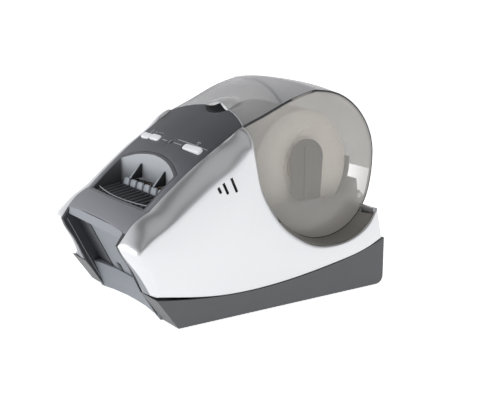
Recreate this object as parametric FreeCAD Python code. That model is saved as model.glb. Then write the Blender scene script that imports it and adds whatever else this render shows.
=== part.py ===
"""Desktop label maker: a wedge-nosed printer with silver sides and a smoked roll cover.

Millimetres, +Z up. The nose points to -Y, the right-hand side is +X, and the origin lies on the
resting plane at the centre of the footprint.
"""
import FreeCAD
import Part
import math
import os
from FreeCAD import Vector

# Driving dimensions
WALL = 2.2                   # moulded wall thickness
GAP = 0.3                    # free gap between covers
FOOT = 1.0                   # the base floor stands this high on its rubber feet

SEAM_Y, SEAM_Z = -9.5, 121.4     # where control panel, silver side and roll cover meet
SEAM_X, SEAM_TAPER = 45.5, 0.04  # half width there, and how it widens to the rear
SIDE_X, SIDE_TAPER = 63.2, 0.0263
SEAM_BOW = 9.0               # the panel's rear edge bows to the rear by this at the middle
CROWN = 3.8                  # rise of panel and cover at the middle of their width

COVER_Y, COVER_Z, COVER_R = 48.7, 90.2, 51.0
COVER_DOME, DOME_R = 4.0, 45.0   # the round sides of the cover bulge by this much
COVER_PLAY = 0.1                 # free play between the cover's flat sides and the silver sides
HINGE_Y, HINGE_Z, HINGE_R = 93.0, 62.0, 2.0

ROLL_Y, ROLL_Z, ROLL_R, ROLL_W = 50.0, 86.0, 40.0, 62.0
CORE_R, HUB_R = 12.5, 9.0
LINER_R = 44.0

PLATEN_Y, PLATEN_Z, PLATEN_R, PLATEN_W = -36.0, 84.0, 7.0, 66.0
SHAFT_R, SHAFT_FIT = 2.5, 0.05
MODULE = 1.0
PLATEN_TEETH, IDLER_TEETH, PINION_TEETH = 20, 30, 12
IDLER_Y, IDLER_Z = -20.0, 64.79
PINION_Y, PINION_Z = -5.0, 50.09
GEAR_X0, GEAR_X1 = 42.0, 46.0
CUTTER_MODULE, CUTTER_TEETH = 0.8, 16
CUTTER_X, CUTTER_Z = -26.0, 62.0
BLADE_Y = -46.5

# Side outline of the body, (y, z)
APRON = [(-100.0, 55.0), (-94.6, 62.0), (-88.0, 68.7), (-78.0, 74.0)]
DECK = [(-78.0, 74.0), (-70.0, 80.9), (-56.0, 91.8), (-41.0, 102.3), (-25.0, 112.2),
        (SEAM_Y, SEAM_Z)]
COVER_EDGE = [(SEAM_Y, SEAM_Z), (-4.5, 107.0), (-2.2, 95.0), (0.5, 84.0), (5.5, 73.0), (12.0, 63.0),
              (20.0, 53.5), (29.0, 46.0), (38.0, 40.5), (52.0, 36.5), (65.0, 36.8), (76.0, 40.5),
              (85.0, 47.0), (91.0, 57.0)]
REAR_EDGE = [(91.0, 57.0), (93.5, 46.0), (96.0, 35.0)]
BASE_SEAM = [(96.0, 35.0), (86.0, 30.5), (59.0, 24.0), (25.0, 19.0), (-8.0, 16.4), (-39.0, 17.0),
             (-84.0, 22.5)]
NOSE_EDGE = [(-84.0, 22.5), (-92.0, 40.0), (-98.0, 50.0), (-100.0, 55.0)]
COVER_TOP = [(SEAM_Y, SEAM_Z), (9.0, 128.3), (28.0, 136.0), (COVER_Y, COVER_Z + COVER_R)]
COVER_UNDER = [(93.6, 60.0), (88.0, 51.5), (80.0, 44.0), (70.0, 39.0), (60.0, 37.0), (50.0, 37.2),
               (38.0, 41.0), (29.0, 46.5), (20.0, 54.0), (12.0, 63.4)]
LEDGE = [(10.0, 57.0), (18.0, 49.0), (27.0, 42.6), (36.0, 38.6), (46.0, 36.0), (58.0, 35.0),
         (70.0, 36.5), (79.0, 40.0), (86.0, 45.0), (90.0, 52.0)]


def seam_x(y):
    """Half width of the panel and of the cover's flat sides."""
    return SEAM_X + SEAM_TAPER * (y - SEAM_Y)


def side_x(y):
    """Half width over the silver sides."""
    return SIDE_X + SIDE_TAPER * (y - SEAM_Y)


def box(x0, x1, y0, y1, z0, z1):
    return Part.makeBox(x1 - x0, y1 - y0, z1 - z0, Vector(x0, y0, z0))


def rod_x(radius, x0, x1, y, z):
    return Part.makeCylinder(radius, x1 - x0, Vector(x0, y, z), Vector(1, 0, 0))


def rod_y(radius, y0, y1, x, z):
    return Part.makeCylinder(radius, y1 - y0, Vector(x, y0, z), Vector(0, 1, 0))


def rod_z(radius, z0, z1, x, y):
    return Part.makeCylinder(radius, z1 - z0, Vector(x, y, z0), Vector(0, 0, 1))


def mirrored(shape):
    return shape.mirror(Vector(0, 0, 0), Vector(1, 0, 0))


def plate_x(points, x0, x1):
    """A flat plate with the (y, z) outline, from x0 to x1."""
    corners = [Vector(x0, y, z) for y, z in points]
    face = Part.Face(Part.makePolygon(corners + corners[:1]))
    return face.extrude(Vector(x1 - x0, 0, 0))


def joined(shapes):
    """Fuse the shapes into one clean solid."""
    first = shapes[0]
    return first.fuse(shapes[1:]).removeSplitter()


def only_solid(shape):
    """The largest solid of a shape, without slivers."""
    return max(shape.Solids, key=lambda solid: solid.Volume)


# Outlines: lists of groups of (y, z) points. Groups share their end points, and run clockwise
# when seen from +X, so that the inside lies to the right.

def flat_points(groups):
    points = []
    for group in groups:
        points += group[:-1]
    return points


def inset_points(groups, insets):
    """Move every outline point inwards by its own inset, with mitred corners."""
    points = flat_points(groups)
    count = len(points)
    moved = []
    for i, (y, z) in enumerate(points):
        normals = []
        for a, b in ((points[i - 1], (y, z)), ((y, z), points[(i + 1) % count])):
            dy, dz = b[0] - a[0], b[1] - a[1]
            length = math.hypot(dy, dz)
            normals.append((dz / length, -dy / length))
        ny = (normals[0][0] + normals[1][0]) / 2
        nz = (normals[0][1] + normals[1][1]) / 2
        scale = insets[i] / max(ny * ny + nz * nz, 0.3)
        moved.append((y + ny * scale, z + nz * scale))
    result = []
    start = 0
    for group in groups:
        end = start + len(group) - 1
        result.append([moved[k % count] for k in range(start, end + 1)])
        start = end
    return result


def section(groups, x_of_y):
    """A closed wire of lines and smooth curves, one per group, with x given by y."""
    edges = []
    for group in groups:
        points = [Vector(x_of_y(y), y, z) for y, z in group]
        if len(points) == 2:
            edges.append(Part.makeLine(points[0], points[1]))
        else:
            curve = Part.BSplineCurve()
            curve.interpolate(points)
            edges.append(curve.toShape())
    return Part.Wire(edges)


def loft(sections):
    solid = Part.makeLoft(sections, True, True)
    if solid.Volume < 0:
        solid.reverse()
    return solid


# Silver side panels

SIDE_GROUPS = [APRON, DECK, COVER_EDGE, REAR_EDGE, BASE_SEAM, NOSE_EDGE]
SHOULDER = ([4, 7, 9] + [9.5, 10.5, 11.5, 12, 11] + [9, 9, 9, 9, 8.5, 8, 6.5, 5, 3.5, 1, 0, 0, 0]
            + [0, 0] + [0] * 6 + [2, 4, 3.5])
SHELL = ([1] * 3 + [1] * 5 + [1] * 5 + [-1, -3, -3, -3, -3, -3, -3, -3] + [1, 1]
         + [0.5] + [-3] * 5 + [1] * 3)
SHOULDER_STEPS = [0.0, 0.5, 0.8, 1.0]


def roll_over(fraction):
    """How far the rounded shoulder has dropped, as a share of its radius."""
    return 1 - math.sqrt(1 - fraction ** 2)


def side_section(fraction, wall=0.0):
    """Outline of the silver side at a fraction of its depth from the seam to the outer face."""
    insets = [s * roll_over(fraction) + wall * h for s, h in zip(SHOULDER, SHELL)]
    groups = inset_points(SIDE_GROUPS, insets)
    reach = wall if fraction == 1 else 0.0

    def x_of_y(y):
        return seam_x(y) * (1 - fraction) + (side_x(y) - reach) * fraction

    return groups, x_of_y


def side_block(wall=0.0):
    sections = [section(*side_section(f, wall)) for f in SHOULDER_STEPS]
    if wall:
        groups, _ = side_section(0.0, wall)
        sections.insert(0, section(groups, lambda y: seam_x(y) - 3))
    return loft(sections)


def vent_slots():
    """Three slanted slots through the right side, growing to the rear."""
    slots = []
    for (y0, z0), (y1, z1) in (((-40.0, 89.0), (-38.0, 85.0)), ((-36.0, 91.0), (-33.0, 84.0)),
                               ((-30.5, 94.5), (-26.5, 84.5))):
        radius = 0.95
        dy, dz = y1 - y0, z1 - z0
        length = math.hypot(dy, dz)
        ny, nz = -dz / length * radius, dy / length * radius
        strip = plate_x([(y0 + ny, z0 + nz), (y1 + ny, z1 + nz), (y1 - ny, z1 - nz),
                         (y0 - ny, z0 - nz)], 50, 70)
        slots.append(joined([strip, rod_x(radius, 50, 70, y0, z0), rod_x(radius, 50, 70, y1, z1)]))
    return slots


def side_panel():
    panel = side_block().cut(side_block(WALL))
    for slot in vent_slots():
        panel = panel.cut(slot)
    return only_solid(panel)


# Base

def base_outline(inset):
    """The dark base below the wavy seam, with a sloped front and a rounded rear corner."""
    front = [(-69.3 + inset, FOOT + inset), (-84.2 + inset, 22.3 + inset)]
    top = [(y, z - GAP) for y, z in reversed(BASE_SEAM)]
    top[0] = front[1]
    top[-1] = (98.0 - inset, 34.8)
    rear = [top[-1], (98.0 - inset, 6.0)]
    corner = [rear[1], (96.3 - inset, FOOT + 1.6 + inset / 2), (92.0, FOOT + inset)]
    floor = [corner[-1], front[0]]
    return [front, top, rear, corner, floor]


def base_tray():
    outer = loft([section(base_outline(0), lambda y: -side_x(y)),
                  section(base_outline(0), side_x)])
    cavity_groups = base_outline(WALL)
    cavity_groups[1] = [(y, z + 12) for y, z in cavity_groups[1]]
    cavity_groups[0][1] = cavity_groups[1][0]
    cavity_groups[2][0] = cavity_groups[1][-1]
    cavity = loft([section(cavity_groups, lambda y: WALL - side_x(y)),
                   section(cavity_groups, lambda y: side_x(y) - WALL)])
    tray = outer.cut(cavity)
    tray = tray.cut(box(-40.3, 40.3, -90, -59.5, -1, 40))
    tray = tray.fuse([box(-40.3, 40.3, -59.5, -57.3, FOOT, 14),
                      box(-42.5, -40.3, -80, -57.3, FOOT, 14).common(outer),
                      box(40.3, 42.5, -80, -57.3, FOOT, 14).common(outer)])
    posts = [rod_z(4.0, FOOT + 0.5, 12, x, y) for x in (-50, 50) for y in (-45, 40)]
    posts += [rod_z(3.5, FOOT + 0.5, 9, x, y) for x in (-22, 30) for y in (44, 76)]
    tray = tray.fuse(posts)
    drill = [rod_z(1.6, -1, 12.5, x, y) for x in (-50, 50) for y in (-45, 40)]
    drill += [box(-50.3, -29.7, 90, 100, 7.7, 22.3), box(13.6, 28.4, 90, 100, 7.6, 20.4)]
    drill += [rod_z(5.2, -1, FOOT + 0.6, x, y) for x, y in FEET]
    drill += [rod_z(3.1, -1, FOOT + 1.0, x, y) for x in (-50, 50) for y in (-45, 40)]
    return only_solid(tray.cut(drill))


FEET = [(-48, -58), (48, -58), (-52, 84), (52, 84)]


def rubber_feet():
    feet = []
    for x, y in FEET:
        feet.append(rod_z(5.0, 0, FOOT + 0.6, x, y))
    return Part.makeCompound(feet)


# Control panel

PANEL_STEPS = [-1.0, -0.8, -0.5, 0.0, 0.5, 0.8, 1.0]


def crown(t):
    return CROWN * (1 - abs(t) ** 2.5)


def seam_y(t):
    return SEAM_Y + SEAM_BOW * (1 - t * t)


def seam_z(t):
    return SEAM_Z + 0.42 * (seam_y(t) - SEAM_Y) + crown(t)


def panel_section(t, drop, thick, rear_gap):
    """Strip under the crowned deck at the width fraction t, drop below it and thick deep."""
    apron = [(y, z + crown(t) * 0.7) for y, z in APRON[1:]]
    deck = [(y, z + crown(t) * (0.7 + 0.3 * (y + 78) / 68.5)) for y, z in DECK[:-1]]
    deck.append((seam_y(t) - rear_gap, seam_z(t) - 0.42 * rear_gap))
    deck[0] = apron[-1]
    top = [apron, deck]
    shift_y, shift_z = 0.566, -0.824

    def lowered(points, depth):
        return [(y + shift_y * depth, z + shift_z * depth) for y, z in points]

    under = lowered(deck, drop + thick)[::-1]
    under_front = lowered(apron, drop + thick)[::-1]
    top = [lowered(group, drop) for group in top]
    rear = [top[1][-1], under[0]]
    front = [under_front[-1], top[0][0]]
    groups = top + [rear, under, under_front, front]
    return section(groups, lambda y: t * (seam_x(y) - GAP))


def panel_block(drop, thick, rear_gap=0.0):
    return loft([panel_section(t, drop, thick, rear_gap) for t in PANEL_STEPS])


def outlet_prism(grow, z0, z1):
    """Upright prism of the half-moon label outlet, grown by the given amount."""
    half = 38.0 + grow
    back_left = Vector(-half, -54.5 + grow, z0)
    back_right = Vector(half, -54.5 + grow, z0)
    front_left = Vector(-half, -80.0 - grow, z0)
    front_right = Vector(half, -80.0 - grow, z0)
    back = Part.Arc(back_left, Vector(0, -47.5 + grow, z0), back_right).toShape()
    front = Part.Arc(front_right, Vector(0, -82.5 - grow, z0), front_left).toShape()
    outline = Part.Wire([back, Part.makeLine(back_right, front_right), front,
                         Part.makeLine(front_left, back_left)])
    return Part.Face(outline).extrude(Vector(0, 0, z1 - z0))


# A frame on the deck: u along +X, v up the slope from the seam line, w out of the deck.
SLOPE = math.radians(33.4)


def on_deck(shape, x, v, w=0.0):
    """Place a shape made about the origin in (u, v, w) onto the deck."""
    placed = shape.copy()
    placed.rotate(Vector(0, 0, 0), Vector(1, 0, 0), math.degrees(SLOPE))
    along_y, along_z = math.cos(SLOPE), math.sin(SLOPE)
    y = SEAM_Y + v * along_y - w * along_z
    z = SEAM_Z + v * along_z + w * along_y
    placed.translate(Vector(x, y, z))
    return placed


BUTTON_V = -31.0
BUTTONS = {"power_button": (-33.0, 11.5), "cut_button": (-19.5, 12.0), "feed_button": (28.0, 20.0)}
BUTTON_DEEP = 5.0
KEY_LIP = 0.6                # the lip that keeps a button under the panel
BOARD_LIFT = 1.0
LAMP_X = 1.0


def deck_lift(x):
    """Height of the crowned deck above its slope plane, along the row of buttons."""
    return 1.3 + 0.74 * crown(x / 44.2)


def pad(width, depth, w0, w1, corner=1.8):
    """A rounded bar in deck coordinates."""
    block = Part.makeBox(width, depth, w1 - w0, Vector(-width / 2, -depth / 2, w0))
    upright = [e for e in block.Edges if abs(e.tangentAt(e.FirstParameter).z) > 0.99]
    return block.makeFillet(corner, upright)


def button(name):
    x, width = BUTTONS[name]
    cap = pad(width, BUTTON_DEEP, -4.4, 1.3)
    flange = Part.makeBox(width + 2 * KEY_LIP, BUTTON_DEEP + 2 * KEY_LIP, 0.8,
                          Vector(-width / 2 - KEY_LIP, -BUTTON_DEEP / 2 - KEY_LIP, -5.2))
    stem = Part.makeCylinder(1.4, 2.6, Vector(0, 0, -7.6))
    return only_solid(on_deck(joined([cap, flange, stem]), x, BUTTON_V, deck_lift(x)))


def status_lamp():
    lens = pad(3.6, BUTTON_DEEP - 1.2, -3.6, 0.35, 1.0)
    return on_deck(lens, LAMP_X, BUTTON_V, deck_lift(LAMP_X))


def scoop_cut():
    """The finger hollow in the panel's rear edge."""
    scoop = Part.makeSphere(21.0)
    scoop.translate(Vector(3.5, 3.0, 143.5))
    return scoop


def control_panel():
    panel = panel_block(0.0, 2.6, 0.4)
    cuts = [outlet_prism(0.25, 40, 130), scoop_cut()]
    for x, width in BUTTONS.values():
        cuts.append(on_deck(pad(width + 2 * GAP, BUTTON_DEEP + 2 * GAP, -9, 9), x, BUTTON_V, 3))
    cuts.append(on_deck(pad(3.7, BUTTON_DEEP - 1.1, -9, 9, 1.0), LAMP_X, BUTTON_V, 3))
    panel = panel.cut(cuts)
    return only_solid(panel)


def outlet_surround():
    """The walls of the label outlet, from the deck down to the label slot."""
    under_deck = panel_block(0.1, 40.0)
    shell = outlet_prism(0.0, 70.5, 130).cut(outlet_prism(-1.8, 70, 131))
    shell = shell.common(under_deck)
    slot = box(-32, 32, -58, -45, 74.0, 80.0)
    return only_solid(shell.cut(slot))


RIB_COUNT = 11


def outlet_tray():
    """The sloping floor that the label slides out on, with its upright ribs."""
    floor = plate_x([(-60.0, 73.0), (-60.0, 75.0), (-84.0, 71.6), (-84.0, 69.6)], -37, 37)
    floor = floor.common(outlet_prism(-2.0, 60, 90))
    ribs = []
    for i in range(RIB_COUNT):
        x = -30 + 60 * i / (RIB_COUNT - 1)
        rib = plate_x([(-60.5, 74.6), (-60.5, 77.4), (-78.6, 74.7), (-78.6, 72.0)],
                      x - 0.7, x + 0.7)
        ribs.append(rib)
    return only_solid(joined([floor] + ribs))


def tear_comb():
    """The row of blunt teeth at the label slot."""
    bar = box(-28, 28, -59.6, -57.0, 73.2, 77.0)
    teeth = []
    count = 6
    pitch = 56 / count
    for i in range(count):
        x = -28 + pitch * (i + 0.5)
        teeth.append(plate_x([(-59.6, 76.0), (-57.0, 76.0), (-56.2, 81.0), (-58.0, 81.8)],
                             x - pitch * 0.36, x + pitch * 0.36))
    return only_solid(joined([bar] + teeth))


def label_fin(x):
    """A three-cornered fin that guides the label, standing on the outlet's rear wall."""
    return plate_x([(-51.6, 92.0), (-50.9, 92.0), (-50.9, 82.0), (-60.5, 82.0)], x - 0.9, x + 0.9)


# Front of the nose

def cheek():
    """Dark plate inside the right-hand nose skirt."""
    outline = [(-94.6, 62.3), (-100.0, 55.0), (-98.0, 50.0), (-92.0, 40.0), (-84.0, 22.5),
               (-71.0, 2.0), (-60.5, 2.0), (-60.5, 14.0), (-74.0, 40.0), (-84.0, 62.0)]
    upper = outline[:4] + [(-84.0, 24.0), (-74.0, 24.0), (-74.0, 40.0), (-84.0, 62.0)]
    plate = joined([plate_x(outline, 38.8, 40.1), plate_x(upper, 40.0, 41.6)])
    return only_solid(plate.cut(panel_block(-1.0, 3.8)))


def front_wall():
    """Recessed front wall between the skirts."""
    wall = plate_x([(-89.0, 54.5), (-86.6, 54.5), (-60.6, 3.0), (-63.2, 3.0)], -38.6, 38.6)
    return wall


def front_lip():
    outline = [(-94.6, 64.0), (-95.6, 58.4), (-89.5, 54.8), (-86.5, 54.8), (-86.5, 57.0),
               (-91.6, 60.0), (-91.6, 64.0)]
    return only_solid(plate_x(outline, -38.6, 38.6).cut(panel_block(-1.0, 3.8)))


# Roll cover

COVER_STEPS = [-1.0, -0.8, -0.5, 0.0, 0.5, 0.8, 1.0]


def cover_rear():
    """The cover's arc from its top to just below its rearmost point."""
    points = []
    for k in range(6):
        angle = math.radians(90 - 20 * k)
        points.append((COVER_Y + COVER_R * math.cos(angle), COVER_Z + COVER_R * math.sin(angle)))
    return points


def cover_groups(t):
    lift = crown(t)
    top = [(y, z + lift) for y, z in COVER_TOP]
    top[0] = (seam_y(t), seam_z(t))
    top[1] = (top[1][0] + 1.5 * (1 - t * t), top[1][1] + 0.5 * (1 - t * t))
    arc = cover_rear()
    arc = [(y, z + lift * max(z - COVER_Z, 0) / COVER_R) for y, z in arc]
    arc[0] = top[-1]
    under = [arc[-1]] + COVER_UNDER
    front = [under[-1], (5.8, 73.0), (0.8, 84.0), (-1.9, 95.0), (-4.2, 107.0), top[0]]
    return [top, arc, under, front]


def cover_block(inset):
    """Body of the cover; the inset one is also longer past the open front and underside."""
    groups_at = []
    for t in COVER_STEPS:
        groups = cover_groups(t)
        if inset:
            sizes = [len(g) - 1 for g in groups]
            insets = [-1.0] + [inset] * (sizes[0] - 1 + sizes[1] + 2) + [0.0, -5.0]
            insets += [-9.0] * (sizes[2] - 4 + sizes[3])
            groups = inset_points(groups, insets)
        groups_at.append(section(groups, lambda y: t * (seam_x(y) - COVER_PLAY - inset)))
    return loft(groups_at)


def cover_dome(shrink):
    """A shallow round bulge on the right side of the cover."""
    base = DOME_R - shrink
    radius = (DOME_R ** 2 + COVER_DOME ** 2) / (2 * COVER_DOME) - shrink
    ball = Part.makeSphere(radius)
    face_x = seam_x(COVER_Y)
    ball.translate(Vector(face_x + COVER_DOME - shrink - radius, COVER_Y, COVER_Z))
    dome = ball.common(rod_x(base, face_x - 1.9 - shrink, 70, COVER_Y, COVER_Z))
    dome.rotate(Vector(face_x, COVER_Y, 0), Vector(0, 0, 1), -math.degrees(math.atan(SEAM_TAPER)))
    return dome


def roll_cover():
    shell = cover_block(0).cut(cover_block(2.0))
    shell = shell.cut(box(-46.0, 46.0, 60, 120, 20, HINGE_Z + 4.8))
    hollow = cover_dome(1.8)
    dome = cover_dome(0).cut(hollow)
    shell = shell.cut([hollow, mirrored(hollow)]).fuse([dome, mirrored(dome)])
    knuckles = []
    for x in (-30, 30):
        knuckle = joined([rod_x(4.0, x - 8, x + 8, HINGE_Y, HINGE_Z),
                          plate_x([(HINGE_Y - 2, HINGE_Z - 1), (HINGE_Y - 3, 70), (HINGE_Y + 4, 74),
                                   (HINGE_Y + 4, HINGE_Z)], x - 8, x + 8)])
        knuckles.append(knuckle)
    shell = shell.fuse(knuckles)
    bore = rod_x(HINGE_R + SHAFT_FIT, -45, 45, HINGE_Y, HINGE_Z)
    return only_solid(shell.cut(bore))


def rear_panel():
    """Closes the rear between the sides, and carries the hinge lugs."""
    wall = plate_x([(96.6, 35.3), (94.2, 35.3), (89.0, 57.0), (91.4, 57.0)], -44, 44)
    lugs = []
    for x0, x1 in ((-44, -38.5), (-21.5, -15), (15, 21.5), (38.5, 44)):
        lugs.append(plate_x([(96.0, 38.0), (90.0, 50.0), (HINGE_Y - 3.6, HINGE_Z),
                             (HINGE_Y, HINGE_Z + 3.6), (HINGE_Y + 3.4, HINGE_Z)], x0, x1))
    wall = joined([wall] + lugs)
    return only_solid(wall.cut(rod_x(HINGE_R, -45, 45, HINGE_Y, HINGE_Z)))


def hinge_pin():
    return rod_x(HINGE_R, -44, 44, HINGE_Y, HINGE_Z)


def ledge():
    """Dark crescent between the right-hand disc of the cover and the silver rim."""
    def strip(points, x_of_y):
        under = [(y, z - 1.8) for y, z in points]
        groups = [points, [points[-1], under[-1]], under[::-1], [under[0], points[0]]]
        return section(groups, x_of_y)

    inner = [(y + 1.0, z + 0.6) for y, z in LEDGE]
    return loft([strip(inner, lambda y: seam_x(y) + 1.0),
                 strip(LEDGE, lambda y: side_x(y) - WALL - 4 * GAP)])


# Label roll and its holder

def roll_liner():
    """Trough under the roll, with end walls that hold the spool arms."""
    z_top = 64.0
    outer = rod_x(LINER_R + 1.8, -42.0, 42.0, ROLL_Y, ROLL_Z)
    inner = rod_x(LINER_R, -40.2, 40.2, ROLL_Y, ROLL_Z)
    trough = outer.cut(inner).common(box(-43, 43, 0, 88.2, 0, z_top))
    sockets = []
    for x in (-36.5, 36.5):
        sockets.append(box(x - 3.6, x + 3.6, ROLL_Y - 14, ROLL_Y + 14, 41.8, 56.0))
    trough = joined([trough] + sockets)
    cuts = [box(x - 1.7, x + 1.7, ROLL_Y - 11.6, ROLL_Y + 11.6, 43.7, 80) for x in (-36.5, 36.5)]
    return only_solid(trough.cut(cuts))


def spool_arm():
    """Upright arm with a round head; its hub carries one end of the roll core."""
    head = rod_x(14.0, 35.2, 37.8, ROLL_Y, ROLL_Z + 6)
    stem = plate_x([(ROLL_Y - 14, ROLL_Z + 6), (ROLL_Y + 14, ROLL_Z + 6), (ROLL_Y + 10, 44.0),
                    (ROLL_Y - 10, 44.0)], 35.2, 37.8)
    hub = rod_x(HUB_R, 26.0, 35.4, ROLL_Y, ROLL_Z)
    rib = box(37.6, 39.2, ROLL_Y - 3, ROLL_Y + 3, 58.0, ROLL_Z + 16)
    return only_solid(joined([head, stem, hub, rib]))


def roll_core():
    half = ROLL_W / 2 + 1.5
    return rod_x(CORE_R, -half, half, ROLL_Y, ROLL_Z).cut(
        rod_x(HUB_R + GAP, -40, 40, ROLL_Y, ROLL_Z))


def label_roll():
    half = ROLL_W / 2
    return rod_x(ROLL_R, -half, half, ROLL_Y, ROLL_Z).cut(
        rod_x(CORE_R, -half - 1, half + 1, ROLL_Y, ROLL_Z))


# Drive train

def gear(teeth, module, thick, turn=0.0):
    """A spur gear about +Z at the origin, with slim straight-sided teeth."""
    pitch = teeth * module / 2
    outer, root = pitch + 0.8 * module, pitch - 1.1 * module
    step = 2 * math.pi / teeth
    points = []
    for i in range(teeth):
        middle = step * i + turn
        for radius, half in ((root, 0.32), (outer, 0.13)):
            points.append((radius, middle - half * step))
        points.append((outer, middle + 0.13 * step))
        points.append((root, middle + 0.32 * step))
    corners = [Vector(r * math.cos(a), r * math.sin(a), 0) for r, a in points]
    return Part.Face(Part.makePolygon(corners + corners[:1])).extrude(Vector(0, 0, thick))


def gear_x(teeth, module, x0, x1, y, z, turn):
    """The gear about +X: its angle is counted from +Y towards +Z."""
    wheel = gear(teeth, module, x1 - x0, turn)
    wheel.rotate(Vector(0, 0, 0), Vector(1, 1, 1), 120)
    wheel.translate(Vector(x0, y, z))
    return wheel


PLATEN_TO_IDLER = math.atan2(IDLER_Z - PLATEN_Z, IDLER_Y - PLATEN_Y)
IDLER_TO_PINION = math.atan2(PINION_Z - IDLER_Z, PINION_Y - IDLER_Y)


def platen_gear():
    wheel = gear_x(PLATEN_TEETH, MODULE, GEAR_X0, GEAR_X1, PLATEN_Y, PLATEN_Z, PLATEN_TO_IDLER)
    return wheel.cut(rod_x(SHAFT_R, 30, 60, PLATEN_Y, PLATEN_Z))


def idler_gear():
    step = 2 * math.pi / IDLER_TEETH
    turn = PLATEN_TO_IDLER + math.pi + step / 2
    wheel = gear_x(IDLER_TEETH, MODULE, GEAR_X0, GEAR_X1, IDLER_Y, IDLER_Z, turn)
    return wheel.cut(rod_x(2.0 + SHAFT_FIT, 30, 60, IDLER_Y, IDLER_Z))


def motor_pinion():
    idler_step = 2 * math.pi / IDLER_TEETH
    step = 2 * math.pi / PINION_TEETH
    idler_turn = PLATEN_TO_IDLER + math.pi + idler_step / 2
    phase = ((IDLER_TO_PINION - idler_turn) / idler_step) % 1.0
    turn = IDLER_TO_PINION + math.pi + step / 2 + phase * step
    wheel = gear_x(PINION_TEETH, MODULE, GEAR_X0 - 0.5, GEAR_X1 + 0.5, PINION_Y, PINION_Z, turn)
    return wheel.cut(rod_x(1.0, 30, 60, PINION_Y, PINION_Z))


def idler_post():
    return rod_x(2.0, 39.4, 47.5, IDLER_Y, IDLER_Z)


def platen_shaft():
    return rod_x(SHAFT_R, -41.5, 47.0, PLATEN_Y, PLATEN_Z)


def platen_roller():
    half = PLATEN_W / 2
    return rod_x(PLATEN_R, -half, half, PLATEN_Y, PLATEN_Z).cut(
        rod_x(SHAFT_R, -half - 1, half + 1, PLATEN_Y, PLATEN_Z))


def shaft_bush():
    """Bearing bush of the platen shaft in the right side plate."""
    bush = rod_x(4.5, 35.8, 39.8, PLATEN_Y, PLATEN_Z)
    return bush.cut(rod_x(SHAFT_R + SHAFT_FIT, 30, 60, PLATEN_Y, PLATEN_Z))


def side_plate():
    """Right-hand plate of the inner frame."""
    plate = plate_x([(-50.0, 15.4), (-52.0, 60.0), (-51.0, 78.0), (-42.0, 90.0), (-26.0, 91.0),
                     (-8.0, 80.0), (6.0, 60.0), (18.0, 40.0), (26.0, 15.4)], 37.0, 39.0)
    foot = box(32.0, 39.0, -40.0, -20.0, 15.4, 17.0)
    plate = joined([plate, foot])
    cuts = [rod_x(4.5, 30, 60, PLATEN_Y, PLATEN_Z), rod_x(3.6, 30, 60, PINION_Y, PINION_Z),
            rod_x(6.0, 30, 60, -40, 40), rod_x(6.0, 30, 60, -20, 34)]
    return only_solid(plate.cut(cuts))


def cross_tray():
    """Floor of the inner frame, standing on the base tray."""
    tray = box(-36.9, 36.9, -55.0, 18.0, 14.0, 15.4)
    legs = [box(x - 3, x + 3, y - 3, y + 3, FOOT + WALL, 14.2) for x in (-28, 28)
            for y in (-50, 12)]
    return joined([tray] + legs)


def feed_motor():
    can = rod_x(12.0, 6.0, 36.0, PINION_Y, PINION_Z)
    face = rod_x(3.4, 36.0, 37.6, PINION_Y, PINION_Z)
    stand = box(10.0, 32.0, PINION_Y - 8, PINION_Y + 8, 15.4, PINION_Z - 8)
    return joined([can, face, stand])


def motor_shaft():
    return rod_x(1.0, 37.8, 47.5, PINION_Y, PINION_Z)


# Print head on a sprung carrier

HEAD_PIVOT_Y, HEAD_PIVOT_Z = -18.0, 70.0


def head_carrier():
    plate = plate_x([(-44.4, 68.0), (-44.4, 70.5), (-22.0, 71.5), (HEAD_PIVOT_Y + 3, 72.8),
                     (HEAD_PIVOT_Y + 3, 67.2), (-22.0, 68.0)], -33, 33)
    eye = rod_x(3.4, -33, 33, HEAD_PIVOT_Y, HEAD_PIVOT_Z)
    body = joined([plate, eye])
    return only_solid(body.cut(rod_x(1.5 + SHAFT_FIT, -40, 40, HEAD_PIVOT_Y, HEAD_PIVOT_Z)))


def head_pivot_pin():
    return rod_x(1.5, -37.0, 37.0, HEAD_PIVOT_Y, HEAD_PIVOT_Z)


def heat_sink():
    fins = []
    for i in range(9):
        x = -28 + 7 * i
        fins.append(box(x - 1, x + 1, -43.5, -27.5, 62.6, 66.2))
    plate = box(-32, 32, -44.0, -27.0, 66.0, 68.0)
    return joined([plate] + fins)


def print_head():
    bar = plate_x([(-43.5, 70.6), (-43.5, 72.6), (-37.5, 76.5), (-34.5, 76.5), (-28.0, 73.0),
                   (-28.0, 71.3)], -31, 31)
    return bar


def head_spring(x):
    """Coil spring under the carrier, as a thin-walled sleeve of its outer size."""
    return rod_z(3.2, 50.0, 61.9, x, -36).cut(rod_z(2.4, 49, 63, x, -36))


def spring_shelf():
    shelf = box(-36.9, 36.9, -41.0, -31.0, 48.4, 50.0)
    pegs = [rod_z(2.0, 49.8, 54.0, x, -36) for x in (-20, 20)]
    return joined([shelf] + pegs)


# Cutter

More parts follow.
